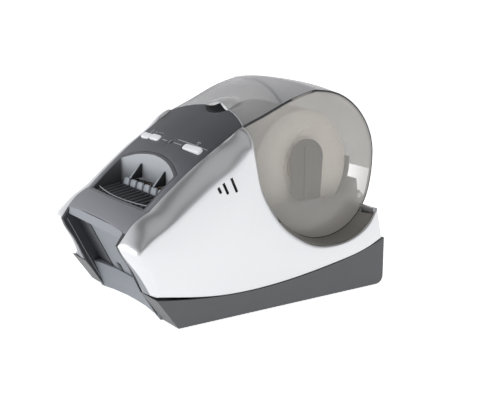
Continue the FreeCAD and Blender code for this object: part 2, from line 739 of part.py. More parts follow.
def cutter_blade():
    """Moving blade with a rack down its left side."""
    blade = plate_x([(BLADE_Y - 0.6, 58.0), (BLADE_Y + 0.6, 58.0), (BLADE_Y + 0.6, 74.6),
                     (BLADE_Y - 0.6, 75.4)], -30, 31)
    pitch_x = CUTTER_X + CUTTER_TEETH * CUTTER_MODULE / 2
    window = box(CUTTER_X - 9, pitch_x + 2.2, BLADE_Y - 2, BLADE_Y + 2, 52.0, 72.0)
    blade = blade.cut(window)
    pitch = math.pi * CUTTER_MODULE
    spine = box(pitch_x + 0.9, pitch_x + 3.4, BLADE_Y - 0.6, BLADE_Y + 0.6, 53.0, 72.5)
    teeth = []
    for k in range(-3, 4):
        z = CUTTER_Z + pitch * k
        corners = [(pitch_x + 1.2, z - 0.32 * pitch), (pitch_x - 0.65, z - 0.13 * pitch),
                   (pitch_x - 0.65, z + 0.13 * pitch), (pitch_x + 1.2, z + 0.32 * pitch)]
        points = [Vector(x, BLADE_Y - 0.6, zz) for x, zz in corners]
        tooth = Part.Face(Part.makePolygon(points + points[:1])).extrude(Vector(0, 1.2, 0))
        teeth.append(tooth)
    return only_solid(joined([blade, spine] + teeth))


def cutter_gear():
    """Pinion of the cutter motor, about an axis along Y."""
    step = 2 * math.pi / CUTTER_TEETH
    wheel = gear(CUTTER_TEETH, CUTTER_MODULE, 3.0, step / 2)
    wheel.rotate(Vector(0, 0, 0), Vector(1, 0, 0), 90)
    wheel.translate(Vector(CUTTER_X, BLADE_Y + 1.5, CUTTER_Z))
    return wheel.cut(rod_y(1.0 + SHAFT_FIT, -60, -40, CUTTER_X, CUTTER_Z))


def cutter_motor():
    can = rod_y(6.0, -54.5, -48.6, CUTTER_X, CUTTER_Z)
    body = box(CUTTER_X - 6, CUTTER_X + 6, -54.5, -48.6, 52.0, CUTTER_Z)
    foot = box(CUTTER_X - 8, CUTTER_X + 8, -54.8, -49.0, 15.4, 52.2)
    shaft = rod_y(1.0, -49.0, -44.2, CUTTER_X, CUTTER_Z)
    return joined([can, body, foot, shaft])


def fixed_blade():
    edge = BLADE_Y + 0.8
    return plate_x([(edge, 79.2), (edge + 1.2, 80.0), (edge + 1.2, 85.0), (edge, 85.0)],
                   -36.9, 36.9)


def label_web():
    """The free end of the label strip, from the roll to the outlet."""
    top = [(15.0, 107.6), (-12.0, 92.0), (-24.0, 79.0), (-30.0, 76.8), (-45.4, 76.9)]
    under = [(y, z - 0.16) for y, z in reversed(top)]
    return plate_x(top + under, -30.5, 30.5)


# Electronics

def main_board():
    board = box(-32, 46, 30, 82, 9.0, 10.6)
    chips = [box(-20, -6, 50, 64, 10.6, 12.4), box(4, 14, 40, 52, 10.6, 12.0),
             box(20, 28, 56, 70, 10.6, 13.2), box(-28, -22, 34, 44, 10.6, 14.0)]
    return only_solid(joined([board] + chips))


def power_board():
    board = box(-58, -36, -6, 82, 12.0, 13.6)
    parts = [box(-56, -40, 4, 24, 13.6, 27.0), rod_z(5.0, 13.5, 25.0, -48, 36),
             box(-54, -42, 50, 64, 13.6, 19.0)]
    legs = [box(x, x + 4, y, y + 4, FOOT + WALL, 12.2) for x in (-57, -42) for y in (0, 74)]
    return only_solid(joined([board] + parts + legs))


def power_inlet():
    """Two-pin mains socket in the rear wall."""
    shell = box(-50, -30, 82.5, 98.0, 8.0, 22.0)
    cup = pad(16.5, 8.6, 0, 10, 3.0)
    cup.rotate(Vector(0, 0, 0), Vector(1, 0, 0), 90)
    cup.translate(Vector(-40, 99.0, 15.0))
    pins = [rod_y(1.2, 88.0, 96.0, x, 15.0) for x in (-44.3, -35.7)]
    return only_solid(joined([shell.cut(cup)] + pins))


def usb_port():
    """Square data socket in the rear wall."""
    shell = box(14, 28, 84.0, 98.0, 8.0, 20.0)
    shell = shell.cut(box(16.0, 26.0, 88.0, 99.0, 9.6, 18.4))
    return only_solid(joined([shell, box(18.5, 23.5, 87.5, 96.5, 10.6, 12.6)]))


def button_board():
    board = Part.makeBox(82, 14, 1.6, Vector(-41, -7, -10.6))
    switches = []
    for x, _ in BUTTONS.values():
        switches.append(Part.makeBox(6, 6, 1.2, Vector(x - 3, -3, -9.1)))
    return only_solid(on_deck(joined([board] + switches), 0, BUTTON_V, BOARD_LIFT))


def case_screws():
    screws = []
    for x in (-50, 50):
        for y in (-45, 40):
            screws.append(rod_z(1.5, FOOT + 0.3, 11.5, x, y).fuse(
                rod_z(2.8, FOOT + 0.3, FOOT + 0.9, x, y)))
    return Part.makeCompound(screws)


PARTS = {
    "base_tray": base_tray,
    "rubber_feet": rubber_feet,
    "side_panel_right": side_panel,
    "side_panel_left": lambda: mirrored(side_panel()),
    "control_panel": control_panel,
    "outlet_surround": outlet_surround,
    "outlet_tray": outlet_tray,
    "tear_comb": tear_comb,
    "label_fin_right": lambda: label_fin(16.0),
    "label_fin_left": lambda: label_fin(-16.0),
    "cheek_right": cheek,
    "cheek_left": lambda: mirrored(cheek()),
    "front_wall": front_wall,
    "front_lip": front_lip,
    "rear_panel": rear_panel,
    "ledge_right": ledge,
    "ledge_left": lambda: mirrored(ledge()),
    "hinge_pin": hinge_pin,
    "roll_cover": roll_cover,
    "roll_liner": roll_liner,
    "spool_arm_right": spool_arm,
    "spool_arm_left": lambda: mirrored(spool_arm()),
    "roll_core": roll_core,
    "label_roll": label_roll,
    "label_web": label_web,
    "power_button": lambda: button("power_button"),
    "cut_button": lambda: button("cut_button"),
    "feed_button": lambda: button("feed_button"),
    "status_lamp": status_lamp,
    "button_board": button_board,
    "side_plate_right": side_plate,
    "side_plate_left": lambda: mirrored(side_plate()),
    "cross_tray": cross_tray,
    "platen_roller": platen_roller,
    "platen_shaft": platen_shaft,
    "platen_gear": platen_gear,
    "shaft_bush_right": shaft_bush,
    "shaft_bush_left": lambda: mirrored(shaft_bush()),
    "idler_gear": idler_gear,
    "idler_post": idler_post,
    "motor_pinion": motor_pinion,
    "motor_shaft": motor_shaft,
    "feed_motor": feed_motor,
    "print_head": print_head,
    "head_carrier": head_carrier,
    "heat_sink": heat_sink,
    "head_pivot_pin": head_pivot_pin,
    "head_spring_left": lambda: head_spring(-20),
    "head_spring_right": lambda: head_spring(20),
    "spring_shelf": spring_shelf,
    "cutter_blade": cutter_blade,
    "cutter_gear": cutter_gear,
    "cutter_motor": cutter_motor,
    "fixed_blade": fixed_blade,
    "main_board": main_board,
    "power_board": power_board,
    "power_inlet": power_inlet,
    "usb_port": usb_port,
    "case_screws": case_screws,
}

os.makedirs("parts", exist_ok=True)
for name, make in PARTS.items():
    make().exportStep(f"parts/{name}.step")
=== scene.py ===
"""Looks of a desktop label maker: silver sides, a dark sloping control panel and a smoked cover.

Lengths are in millimetres until a mesh is made. +Z is up, the nose points to -Y and the
right-hand side is +X.
"""
import math

import bmesh
import bpy
import numpy as np
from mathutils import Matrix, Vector, geometry


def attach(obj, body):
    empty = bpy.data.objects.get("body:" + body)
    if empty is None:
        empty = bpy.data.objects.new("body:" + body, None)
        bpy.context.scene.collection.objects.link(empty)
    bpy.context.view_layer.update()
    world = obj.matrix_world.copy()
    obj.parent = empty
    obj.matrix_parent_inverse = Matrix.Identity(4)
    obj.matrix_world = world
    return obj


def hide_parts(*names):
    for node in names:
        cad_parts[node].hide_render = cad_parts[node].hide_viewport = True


bl_info = {
    "name": "Desktop label maker",
    "version": (1, 0, 0),
    "blender": (4, 5, 0),
    "location": "View3D > Sidebar > Label maker",
    "description": "Builds the looks of a desktop label maker round its CAD frame",
    "category": "Object",
}

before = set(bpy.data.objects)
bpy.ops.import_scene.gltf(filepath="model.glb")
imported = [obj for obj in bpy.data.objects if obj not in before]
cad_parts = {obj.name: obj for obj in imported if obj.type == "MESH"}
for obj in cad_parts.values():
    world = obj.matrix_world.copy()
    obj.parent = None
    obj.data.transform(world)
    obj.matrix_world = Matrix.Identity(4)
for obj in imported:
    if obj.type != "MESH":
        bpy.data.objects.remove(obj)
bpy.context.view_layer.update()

MM = 0.001
WALL = 2.2
GAP = 0.3
COVER_GAP = 0.1
SIDES = (("right", 1), ("left", -1))

# The seam between panel and cover, and the half widths of panel and housing beside it
SEAM_Y, SEAM_Z = -9.5, 121.4
SEAM_X, SEAM_TAPER = 45.5, 0.04
SIDE_X, SIDE_TAPER = 63.2, 0.0263
WIDEST = 66.0
SHOULDER_CURVE = 1.5
SEAM_BOW = 9.0
CROWN = 3.8
COVER_Y, COVER_Z, COVER_R = 48.7, 90.2, 51.0
HINGE_Y, HINGE_Z = 93.0, 62.0
ROLL_Y, ROLL_Z = 50.0, 86.0
SLOPE = math.radians(33.4)

# The outline of a silver side as (y, z), from the nose over the deck and back along the base
APRON = [(-100.0, 55.0), (-94.6, 62.0), (-88.0, 68.7), (-78.0, 74.0)]
DECK = [(-78.0, 74.0), (-70.0, 80.9), (-56.0, 91.8), (-41.0, 102.3), (-25.0, 112.2),
        (SEAM_Y, SEAM_Z)]
COVER_EDGE = [(SEAM_Y, SEAM_Z), (-4.5, 107.0), (-2.2, 95.0), (0.5, 84.0), (5.5, 73.0),
              (12.0, 63.0), (20.0, 53.5), (29.0, 46.0), (38.0, 40.5), (52.0, 36.5), (65.0, 36.8),
              (76.0, 40.5), (85.0, 47.0), (91.0, 57.0)]
REAR_EDGE = [(91.0, 57.0), (93.5, 46.0), (96.0, 35.0)]
BASE_SEAM = [(96.0, 35.0), (86.0, 30.5), (59.0, 24.0), (25.0, 19.0), (-8.0, 16.4), (-39.0, 17.0),
             (-84.0, 22.5)]
NOSE_EDGE = [(-84.0, 22.5), (-92.0, 40.0), (-98.0, 50.0), (-100.0, 55.0)]
SIDE_GROUPS = [APRON, DECK, COVER_EDGE, REAR_EDGE, BASE_SEAM, NOSE_EDGE]
SIDE_STEPS = 6
# How far the rounded shoulder draws in each point of that outline, one line per stretch
SHOULDER = [4, 7, 9,
            9.5, 10.5, 11.5, 12, 11,
            9, 9, 9, 9, 8.5, 8, 6.5, 5, 3.5, 1, 0, 0, 0,
            0, 0,
            0, 0, 0, 0, 0, 0,
            2, 4, 3.5]

COVER_TOP = [(SEAM_Y, SEAM_Z), (9.0, 128.3), (28.0, 136.0), (COVER_Y, COVER_Z + COVER_R)]
COVER_UNDER = [(12.0, 63.4), (20.0, 54.0), (29.0, 46.5), (38.0, 41.0), (50.0, 37.2),
               (60.0, 37.0), (70.0, 39.0), (80.0, 44.0), (88.0, 51.5)]
SHEET_END = 66.8
LEDGE = [(10.0, 57.0), (18.0, 49.0), (27.0, 42.6), (36.0, 38.6), (46.0, 36.0), (58.0, 35.0),
         (70.0, 36.5), (79.0, 40.0), (86.0, 45.0), (90.0, 52.0)]

# The label outlet seen from above: half width, then end and middle of its two bowed edges
OUTLET_HALF = 38.0
OUTLET_BACK = (-54.5, -47.5)
OUTLET_FRONT = (-80.0, -82.5)

# The row of buttons, v up the slope: name, then x, width and body
BUTTON_V = -31.0
BUTTON_DEEP = 5.0
BUTTON_ROW_HALF = 44.2
BUTTONS = {"power_button": (-33.0, 11.5, "power_key"), "cut_button": (-19.5, 12.0, "cut_key"),
           "feed_button": (28.0, 20.0, "feed_key")}
LAMP_X = 1.0
REAR_GAP = 0.4

# The ball that hollows the panel's rear edge for a finger: x, y, z, radius
SCOOP = (3.5, 3.0, 143.5, 21.0)


# Sizes and colours that a user would change

class LabelMakerSizes(bpy.types.PropertyGroup):
    """Sizes of the visible shapes."""

    edge_round: bpy.props.FloatProperty(
        name="Side edge rounding", description="Radius of the silver sides' outer edges",
        default=0.0009, min=0.0002, max=0.002, unit="LENGTH")
    side_bulge: bpy.props.FloatProperty(
        name="Side bulge", description="How far the silver sides bulge at their middle",
        default=0.0014, min=0.0, max=0.002, unit="LENGTH")
    cover_bulge: bpy.props.FloatProperty(
        name="Cover bulge", description="How far the round sides of the cover bulge",
        default=0.0042, min=0.001, max=0.005, unit="LENGTH")
    panel_edge: bpy.props.FloatProperty(
        name="Panel edge rounding", description="Radius of the control panel's edges",
        default=0.0004, min=0.0001, max=0.001, unit="LENGTH")


class LabelMakerColours(bpy.types.PropertyGroup):
    """Colours of the finishes."""

    silver: bpy.props.FloatVectorProperty(
        name="Silver", description="Lacquer of the side panels", subtype="COLOR", size=3,
        default=(0.68, 0.687, 0.70), min=0.0, max=1.0)
    panel: bpy.props.FloatVectorProperty(
        name="Panel", description="Plastic of the control panel and nose", subtype="COLOR",
        size=3, default=(0.048, 0.052, 0.060), min=0.0, max=1.0)
    base: bpy.props.FloatVectorProperty(
        name="Base", description="Plastic of the base", subtype="COLOR", size=3,
        default=(0.075, 0.079, 0.084), min=0.0, max=1.0)
    smoke: bpy.props.FloatVectorProperty(
        name="Smoke", description="Tint of the roll cover", subtype="COLOR", size=3,
        default=(0.46, 0.462, 0.47), min=0.0, max=1.0)
    smoke_side: bpy.props.FloatVectorProperty(
        name="Smoke sides", description="Tint of the cover's frosted round sides",
        subtype="COLOR", size=3, default=(0.54, 0.515, 0.475), min=0.0, max=1.0)
    outlet: bpy.props.FloatVectorProperty(
        name="Outlet", description="Curved wall behind the label outlet", subtype="COLOR",
        size=3, default=(0.40, 0.415, 0.44), min=0.0, max=1.0)


def sizes():
    """The sizes set in the scene."""
    return bpy.context.scene.label_maker_sizes


def colours():
    """The colours set in the scene."""
    return bpy.context.scene.label_maker_colours


# Outlines and surfaces

def seam_x(y):
    """Half width of the panel and of the cover's flat sides."""
    return SEAM_X + SEAM_TAPER * (y - SEAM_Y)


def side_x(y):
    """Half width over the silver sides."""
    return SIDE_X + SIDE_TAPER * (y - SEAM_Y)


def crown(t):
    """Rise of the panel and the cover at a share t of their half width."""
    return CROWN * (1 - abs(t) ** 2.5)


def seam_y(t):
    """The seam bows to the rear towards its middle."""
    return SEAM_Y + SEAM_BOW * (1 - t * t)


def seam_z(t):
    """Height of the seam."""
    return SEAM_Z + 0.42 * (seam_y(t) - SEAM_Y) + crown(t)


def spline(points, per):
    """A smooth curve through the points, with `per` steps to each stretch."""
    p = np.array(points, float)
    count = len(p)
    if count == 2:
        return p[0] + (p[1] - p[0]) * np.linspace(0, 1, per + 1)[:, None]
    h = np.linalg.norm(np.diff(p, axis=0), axis=1)
    slope = np.diff(p, axis=0) / h[:, None]
    system = np.eye(count)
    wanted = np.zeros_like(p)
    for i in range(1, count - 1):
        system[i, i - 1:i + 2] = h[i - 1], 2 * (h[i - 1] + h[i]), h[i]
        wanted[i] = 6 * (slope[i] - slope[i - 1])
    bend = np.linalg.solve(system, wanted)
    curve = []
    for i in range(count - 1):
        lead = slope[i] - h[i] * (2 * bend[i] + bend[i + 1]) / 6
        for s in h[i] * np.arange(per) / per:
            curve.append(p[i] + lead * s + bend[i] / 2 * s ** 2
                         + (bend[i + 1] - bend[i]) / (6 * h[i]) * s ** 3)
    curve.append(p[-1])
    return np.array(curve)


def inset_points(points, insets):
    """Move every point of a closed outline inwards by its own inset, with mitred corners."""
    count = len(points)
    moved = []
    for i, (y, z) in enumerate(points):
        ny = nz = 0.0
        for a, b in ((points[i - 1], (y, z)), ((y, z), points[(i + 1) % count])):
            dy, dz = b[0] - a[0], b[1] - a[1]
            length = math.hypot(dy, dz)
            ny += dz / length / 2
            nz -= dy / length / 2
        scale = insets[i] / max(ny * ny + nz * nz, 0.3)
        moved.append((y + ny * scale, z + nz * scale))
    return moved


def in_outline(points, outline):
    """Which of the points lie inside a closed outline."""
    inside = np.zeros(len(points), bool)
    x, y = points[:, 0], points[:, 1]
    for (x0, y0), (x1, y1) in zip(outline, np.roll(outline, -1, axis=0)):
        crosses = (y0 > y) != (y1 > y)
        with np.errstate(divide="ignore", invalid="ignore"):
            at = (x1 - x0) * (y - y0) / (y1 - y0) + x0
        inside ^= crosses & (x < at)
    return inside


def edge_distance(points, outline):
    """Distance of each point from a closed outline."""
    best = np.full(len(points), 1e9)
    for a, b in zip(outline, np.roll(outline, -1, axis=0)):
        along = b - a
        share = np.clip(((points - a) @ along) / max(along @ along, 1e-9), 0, 1)
        best = np.minimum(best, np.linalg.norm(points - a - share[:, None] * along, axis=1))
    return best


def filled(outline, holes, spacing):
    """Flat triangles inside an outline and outside its holes, with points inside as well."""
    loops = [np.array(loop, float) for loop in [outline] + list(holes)]
    low, high = loops[0].min(0), loops[0].max(0)
    across = np.arange(low[0] + spacing / 2, high[0], spacing)
    along = np.arange(low[1] + spacing / 2, high[1], spacing)
    grid = np.array([(a + (spacing / 2 if k % 2 else 0), b) for k, b in enumerate(along)
                     for a in across])
    grid = grid[in_outline(grid, loops[0])]
    for k, loop in enumerate(loops):
        if k:
            grid = grid[~in_outline(grid, loop)]
        grid = grid[edge_distance(grid, loop) > spacing * 0.45]
    points, edges = [], []
    for loop in loops:
        start = len(points)
        points += [Vector(p) for p in loop]
        edges += [(start + i, start + (i + 1) % len(loop)) for i in range(len(loop))]
    points += [Vector(p) for p in grid]
    made, _, triangles, _, _, _ = geometry.delaunay_2d_cdt(points, edges, [], 0, 1e-6)
    flat = np.array([tuple(p) for p in made])
    middles = np.array([flat[list(t)].mean(0) for t in triangles])
    keep = in_outline(middles, loops[0])
    for loop in loops[1:]:
        keep &= ~in_outline(middles, loop)
    return flat, [tuple(t) for t, kept in zip(triangles, keep) if kept]


class Stock:
    """Vertices and faces, in millimetres, that become one piece."""

    def __init__(self):
        self.verts, self.faces, self.kinds = [], [], []

    def add(self, verts, faces, kind=0):
        """Add a part; kind is the number of its finish in the piece."""
        start = len(self.verts)
        self.verts += [tuple(float(c) for c in v) for v in verts]
        self.faces += [tuple(start + i for i in f) for f in faces]
        self.kinds += [kind] * len(faces)
        return self

    def rings(self, rings, kind=0, closed=True, caps=True):
        """Skin between rings of equally many points."""
        count = len(rings[0])
        faces = []
        for r in range(len(rings) - 1):
            for i in range(count if closed else count - 1):
                j = (i + 1) % count
                faces.append((r * count + i, r * count + j, (r + 1) * count + j,
                              (r + 1) * count + i))
        if caps:
            faces.append(tuple(reversed(range(count))))
            faces.append(tuple((len(rings) - 1) * count + i for i in range(count)))
        return self.add([v for ring in rings for v in ring], faces, kind)

    def prism(self, outline, x0, x1, kind=0):
        """A plate with the (y, z) outline, from x0 to x1."""
        return self.rings([[(x, y, z) for y, z in outline] for x in (x0, x1)], kind)

    def tube(self, path, radius, kind=0, sides=8):
        """A round rod along a path, closed at both ends."""
        path = np.array(path, float)
        rings = []
        side = None
        for i, point in enumerate(path):
            way = path[min(i + 1, len(path) - 1)] - path[max(i - 1, 0)]
            way /= np.linalg.norm(way)
            if side is None:
                start = (0, 0, 1) if abs(way[2]) < 0.9 else (0, 1, 0)
                side = np.cross(way, start)
            side = side - way * (side @ way)
            side /= np.linalg.norm(side)
            up = np.cross(side, way)
            rings.append([point + radius * (math.cos(a) * side + math.sin(a) * up)
                          for a in np.linspace(0, 2 * math.pi, sides, endpoint=False)])
        return self.rings(rings, kind)

    def turned(self, profile, y, z, steps):
        """A closed (radius, x) profile turned about an axis along X."""
        angles = np.linspace(0, 2 * math.pi, steps, endpoint=False)
        rings = [[(x, y + r * math.cos(a), z + r * math.sin(a)) for r, x in profile]
                 for a in angles]
        return self.rings(rings + rings[:1], caps=False)


def baked(thing, angle):
    """Keep what the modifiers make as the piece's own mesh, with creases where it turns."""
    bpy.context.view_layer.update()
    graph = bpy.context.evaluated_depsgraph_get()
    mesh = bpy.data.meshes.new_from_object(thing.evaluated_get(graph))
    thing.modifiers.clear()
    old = thing.data
    thing.data = mesh
    bpy.data.meshes.remove(old)
    mesh.polygons.foreach_set("use_smooth", [True] * len(mesh.polygons))
    mesh.set_sharp_from_angle(angle=math.radians(angle))
    mesh.name = thing.name


def piece(name, stock, finishes, body="housing", stands_for=(), thick=0.0,
          round_by=0.0, crease=38, segments=2):
    """Make one piece from stock, and put it on its CAD body."""
    mesh = bpy.data.meshes.new(name)
    mesh.from_pydata([tuple(c * MM for c in v) for v in stock.verts], [], stock.faces)
    mesh.polygons.foreach_set("material_index", stock.kinds)
    for material in finishes:
        mesh.materials.append(material)
    work = bmesh.new()
    work.from_mesh(mesh)
    bmesh.ops.remove_doubles(work, verts=work.verts, dist=0.01 * MM)
    bmesh.ops.recalc_face_normals(work, faces=work.faces)
    work.to_mesh(mesh)
    work.free()
    thing = bpy.data.objects.new(name, mesh)
    bpy.context.scene.collection.objects.link(thing)
    if thick:
        wall = thing.modifiers.new("Wall", "SOLIDIFY")
        wall.thickness = thick * MM
        wall.offset = -1
        wall.use_even_offset = True
    if round_by:
        edge = thing.modifiers.new("Edges", "BEVEL")
        edge.width = round_by * MM
        edge.segments = segments
        edge.limit_method = "ANGLE"
        edge.angle_limit = math.radians(40)
    baked(thing, crease)
    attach(thing, body)
    if stands_for:
        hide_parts(*stands_for)
    return thing


# Finishes

class Wire:
    """A socket of a finish, so that shader maths reads as a plain expression."""

    def __init__(self, recipe, socket):
        self.recipe, self.socket = recipe, socket

    def _maths(self, operation, first, second):
        return self.recipe.node("ShaderNodeMath", {"operation": operation}, {0: first, 1: second})

    def __add__(self, other):
        return self._maths("ADD", self, other)

    def __radd__(self, other):
        return self._maths("ADD", other, self)

    def __sub__(self, other):
        return self._maths("SUBTRACT", self, other)

    def __rsub__(self, other):
        return self._maths("SUBTRACT", other, self)

    def __mul__(self, other):
        return self._maths("MULTIPLY", self, other)

    def __rmul__(self, other):
        return self._maths("MULTIPLY", other, self)

    def __pow__(self, other):
        return self._maths("POWER", self, other)


class Recipe:
    """A procedural look: one material or world and the nodes that make it."""

    def __init__(self, name, kinds="materials"):
        self.made = getattr(bpy.data, kinds).new(name)
        self.made.use_nodes = True
        self.tree = self.made.node_tree
        self.tree.nodes.clear()

    def node(self, kind, settings=None, inputs=None, output=0):
        """Add a node: its settings first, then the values or links of its sockets."""
        made = self.tree.nodes.new(kind)
        for key, value in (settings or {}).items():
            if key == "stops":
                ramp = made.color_ramp
                while len(ramp.elements) < len(value):
                    ramp.elements.new(0.5)
                for stop, (place, colour) in zip(ramp.elements, value):
                    stop.position, stop.color = place, colour
            else:
                setattr(made, key, value)
        for key, value in (inputs or {}).items():
            if isinstance(value, Wire):
                self.tree.links.new(value.socket, made.inputs[key])
            else:
                made.inputs[key].default_value = value
        return Wire(self, made.outputs[output]) if made.outputs else None

    def place(self):
        """Where on the piece the finish is looked at."""
        return self.node("ShaderNodeTexCoord", output="Object")

    def part_of(self, axis):
        """One coordinate of the place, in metres."""
        return self.node("ShaderNodeSeparateXYZ", inputs={"Vector": self.place()}, output=axis)

    def noise(self, size, detail=2.0, stretch=None):
        """Soft noise from 0 to 1 with blotches of that size in millimetres."""
        where = self.place()
        if stretch:
            where = self.node("ShaderNodeVectorMath", {"operation": "MULTIPLY"},
                              {0: where, 1: stretch})
        return self.node("ShaderNodeTexNoise",
                         inputs={"Vector": where, "Scale": 1 / (size * MM), "Detail": detail})

    def between(self, value, low, high):
        """0 below low and 1 above high, with a soft change between them."""
        return self.node("ShaderNodeMapRange", {"interpolation_type": "SMOOTHSTEP"},
                         {"Value": value, "From Min": low, "From Max": high})

    def tint(self, first, second, share):
        """Mix two colours."""
        return self.node("ShaderNodeMix", {"data_type": "RGBA"},
                         {0: share, 6: rgba(first), 7: rgba(second)}, output=2)

    def bump(self, height, depth):
        """A bump of that depth in millimetres."""
        return self.node("ShaderNodeBump",
                         inputs={"Height": height, "Distance": depth * MM, "Strength": 1.0})

    def finish(self, **sockets):
        """Close the finish with one Principled shader; spaces in its names are underscores."""
        named = {key.replace("_", " "): rgba(value) if key.endswith("Color") else value
                 for key, value in sockets.items()}
        surface = self.node("ShaderNodeBsdfPrincipled", inputs=named)
        self.node("ShaderNodeOutputMaterial", inputs={"Surface": surface})
        return self.made


def rgba(colour):
    """A colour with full opacity, or the link that carries it."""
    return colour if isinstance(colour, Wire) else (*tuple(colour)[:3], 1.0)


def shaded(colour, factor):
    """A lighter or darker colour."""
    return tuple(min(c * factor, 1.0) for c in tuple(colour)[:3])


def moulded(name, colour, roughness=0.5, grain=0.02, grain_size=0.5, tone=0.08, coat=0.0):
    """Moulded plastic: fine spark-eroded grain, slow drifts of tone and handling marks."""
    r = Recipe(name)
    drift = r.noise(28.0, 3.0)
    speck = r.noise(grain_size, 2.0)
    marks = r.between(r.noise(7.0, 4.0, (1.0, 0.35, 1.0)), 0.55, 0.8)
    base = r.tint(shaded(colour, 1 - tone), shaded(colour, 1 + tone), drift)
    base = r.tint(base, shaded(colour, 1 + 2 * tone), speck * 0.5)
    rough = roughness + (drift - 0.5) * 0.08 + marks * -0.06
    return r.finish(Base_Color=base, Roughness=rough, Coat_Weight=coat, Coat_Roughness=0.25,
                    Normal=r.bump(speck, grain))


def panel_plastic():
    """Dark moulded plastic, with a painted sheen that pales it towards the nose."""
    r = Recipe("panel plastic")
    colour = colours().panel
    drift = r.noise(28.0, 3.0)
    speck = r.noise(0.6, 2.0)
    # painted sheen: the base colour pales towards the nose, standing in for light from the front
    painted_nose_sheen = r.between(r.part_of("Y") * -1.0, 0.022, 0.098)
    base = r.tint(shaded(colour, 0.92), shaded(colour, 1.08), drift)
    base = r.tint(base, (0.24, 0.245, 0.27), painted_nose_sheen)
    base = r.tint(base, shaded(colour, 1.3), speck * 0.15)
    return r.finish(Base_Color=base, Roughness=0.42 + drift * 0.08, Normal=r.bump(speck, 0.02))


def silver_lacquer():
    """Satin silver lacquer over grey plastic, which stays bare low on the front flanks."""
    r = Recipe("silver lacquer")
    colour = colours().silver
    flake = r.noise(0.35, 1.0)
    cloud = r.noise(30.0, 2.0)
    base = r.tint(shaded(colour, 0.93), shaded(colour, 1.04), flake)
    rough = 0.24 + cloud * 0.06 + flake * 0.05
    across = r.node("ShaderNodeMath", {"operation": "ABSOLUTE"}, {0: r.part_of("X")})
    # The bare flank lies inside a line that leans outwards on its way down
    inner = 0.0419 + (0.055 - r.part_of("Z")) * 0.326
    ahead = r.between(r.part_of("Y") * -1.0, 0.0825, 0.083)
    skirt = r.between(inner - across, 0.0, 0.0004) * ahead
    base = r.tint(base, (0.19, 0.205, 0.225), skirt)
    return r.finish(Base_Color=base, Metallic=0.9 - skirt * 0.9, Roughness=rough + skirt * 0.2,
                    Coat_Weight=0.2, Coat_Roughness=0.15, Normal=r.bump(flake, 0.006))


def smoke_plastic(name, colour, alpha, rim_alpha):
    """Frosted smoke plastic: denser towards its rim and where it is seen edge on, with painted
    shade that darkens its tint towards the rim.
    """
    r = Recipe(name)
    y = r.part_of("Y") - COVER_Y * MM
    z = r.part_of("Z") - COVER_Z * MM
    reach = (y * y + z * z) ** 0.5
    rim = r.between(reach, 0.020, 0.0515)
    edge = r.node("ShaderNodeLayerWeight", inputs={"Blend": 0.3}, output="Facing")
    film = r.noise(40.0, 2.0)
    dust = r.between(r.noise(1.2, 2.0), 0.68, 0.8)
    body = r.tint(shaded(colour, 0.92), shaded(colour, 1.08), film)
    # painted shade: the tint darkens towards the rim
    body = r.tint(body, shaded(colour, 0.6), rim * 0.7)
    dense = alpha + rim * (rim_alpha - alpha) + edge ** 3.0 * (0.98 - rim_alpha) + dust * 0.02
    return r.finish(Base_Color=body, Roughness=0.22 + film * 0.05, Alpha=dense, Coat_Weight=0.4,
                    Coat_Roughness=0.06, Normal=r.bump(film, 0.1))


def label_paper():
    """White label stock, with the fine rings of its layers on the roll's faces."""
    r = Recipe("label paper")
    fibre = r.noise(0.6, 3.0)
    y = r.part_of("Y") - ROLL_Y * MM
    z = r.part_of("Z") - ROLL_Z * MM
    reach = (y * y + z * z) ** 0.5
    layer = 1.6 * MM
    layers = r.node("ShaderNodeMath", {"operation": "SINE"}, {0: reach * (2 * math.pi / layer)})
    drift = r.noise(16.0, 2.0, (0.3, 1.0, 1.0))
    base = r.tint((0.84, 0.79, 0.71), (0.93, 0.89, 0.81), drift)
    base = r.tint(base, (0.66, 0.62, 0.55), r.between(layers, 0.3, 1.0) * 0.5)
    return r.finish(Base_Color=base, Roughness=0.75,
                    Normal=r.bump(layers + fibre * 0.5, 0.08))


def metal(name, colour, roughness=0.3, stretch=(1.0, 0.05, 1.0)):
    """Bare metal with drawn or ground lines."""
    r = Recipe(name)
    lines = r.noise(0.5, 3.0, stretch)
    stain = r.noise(9.0, 3.0)
    base = r.tint(shaded(colour, 0.8), shaded(colour, 1.08), lines)
    base = r.tint(base, shaded(colour, 0.7), r.between(stain, 0.6, 0.85) * 0.5)
    return r.finish(Base_Color=base, Metallic=1.0, Roughness=roughness + lines * 0.15,
                    Normal=r.bump(lines, 0.01))


def rubber(name, colour):
    """Matt ground rubber."""
    r = Recipe(name)
    speck = r.noise(0.35, 3.0)
    base = r.tint(shaded(colour, 0.8), shaded(colour, 1.4), speck)
    return r.finish(Base_Color=base, Roughness=0.85, Normal=r.bump(speck, 0.05))


def circuit_board():
    """Green solder mask over copper tracks."""
    r = Recipe("solder mask")
    tracks = r.node("ShaderNodeTexBrick", {"offset": 0.37},
                    {"Vector": r.place(), "Scale": 260.0, "Mortar Size": 0.03,
                     "Color1": rgba((0, 0, 0)), "Color2": rgba((0, 0, 0)),
                     "Mortar": rgba((1, 1, 1))})
    base = r.tint((0.012, 0.10, 0.045), (0.03, 0.17, 0.075), tracks)
    return r.finish(Base_Color=base, Roughness=0.35 + r.noise(3.0) * 0.1,
                    Normal=r.bump(tracks, 0.05))


def pressed_board():
    """Brown wound cardboard of the roll core."""
    r = Recipe("core board")
    fibre = r.noise(1.4, 4.0, (0.2, 1.0, 1.0))
    base = r.tint((0.30, 0.20, 0.11), (0.47, 0.34, 0.20), fibre)
    return r.finish(Base_Color=base, Roughness=0.85, Normal=r.bump(fibre, 0.08))


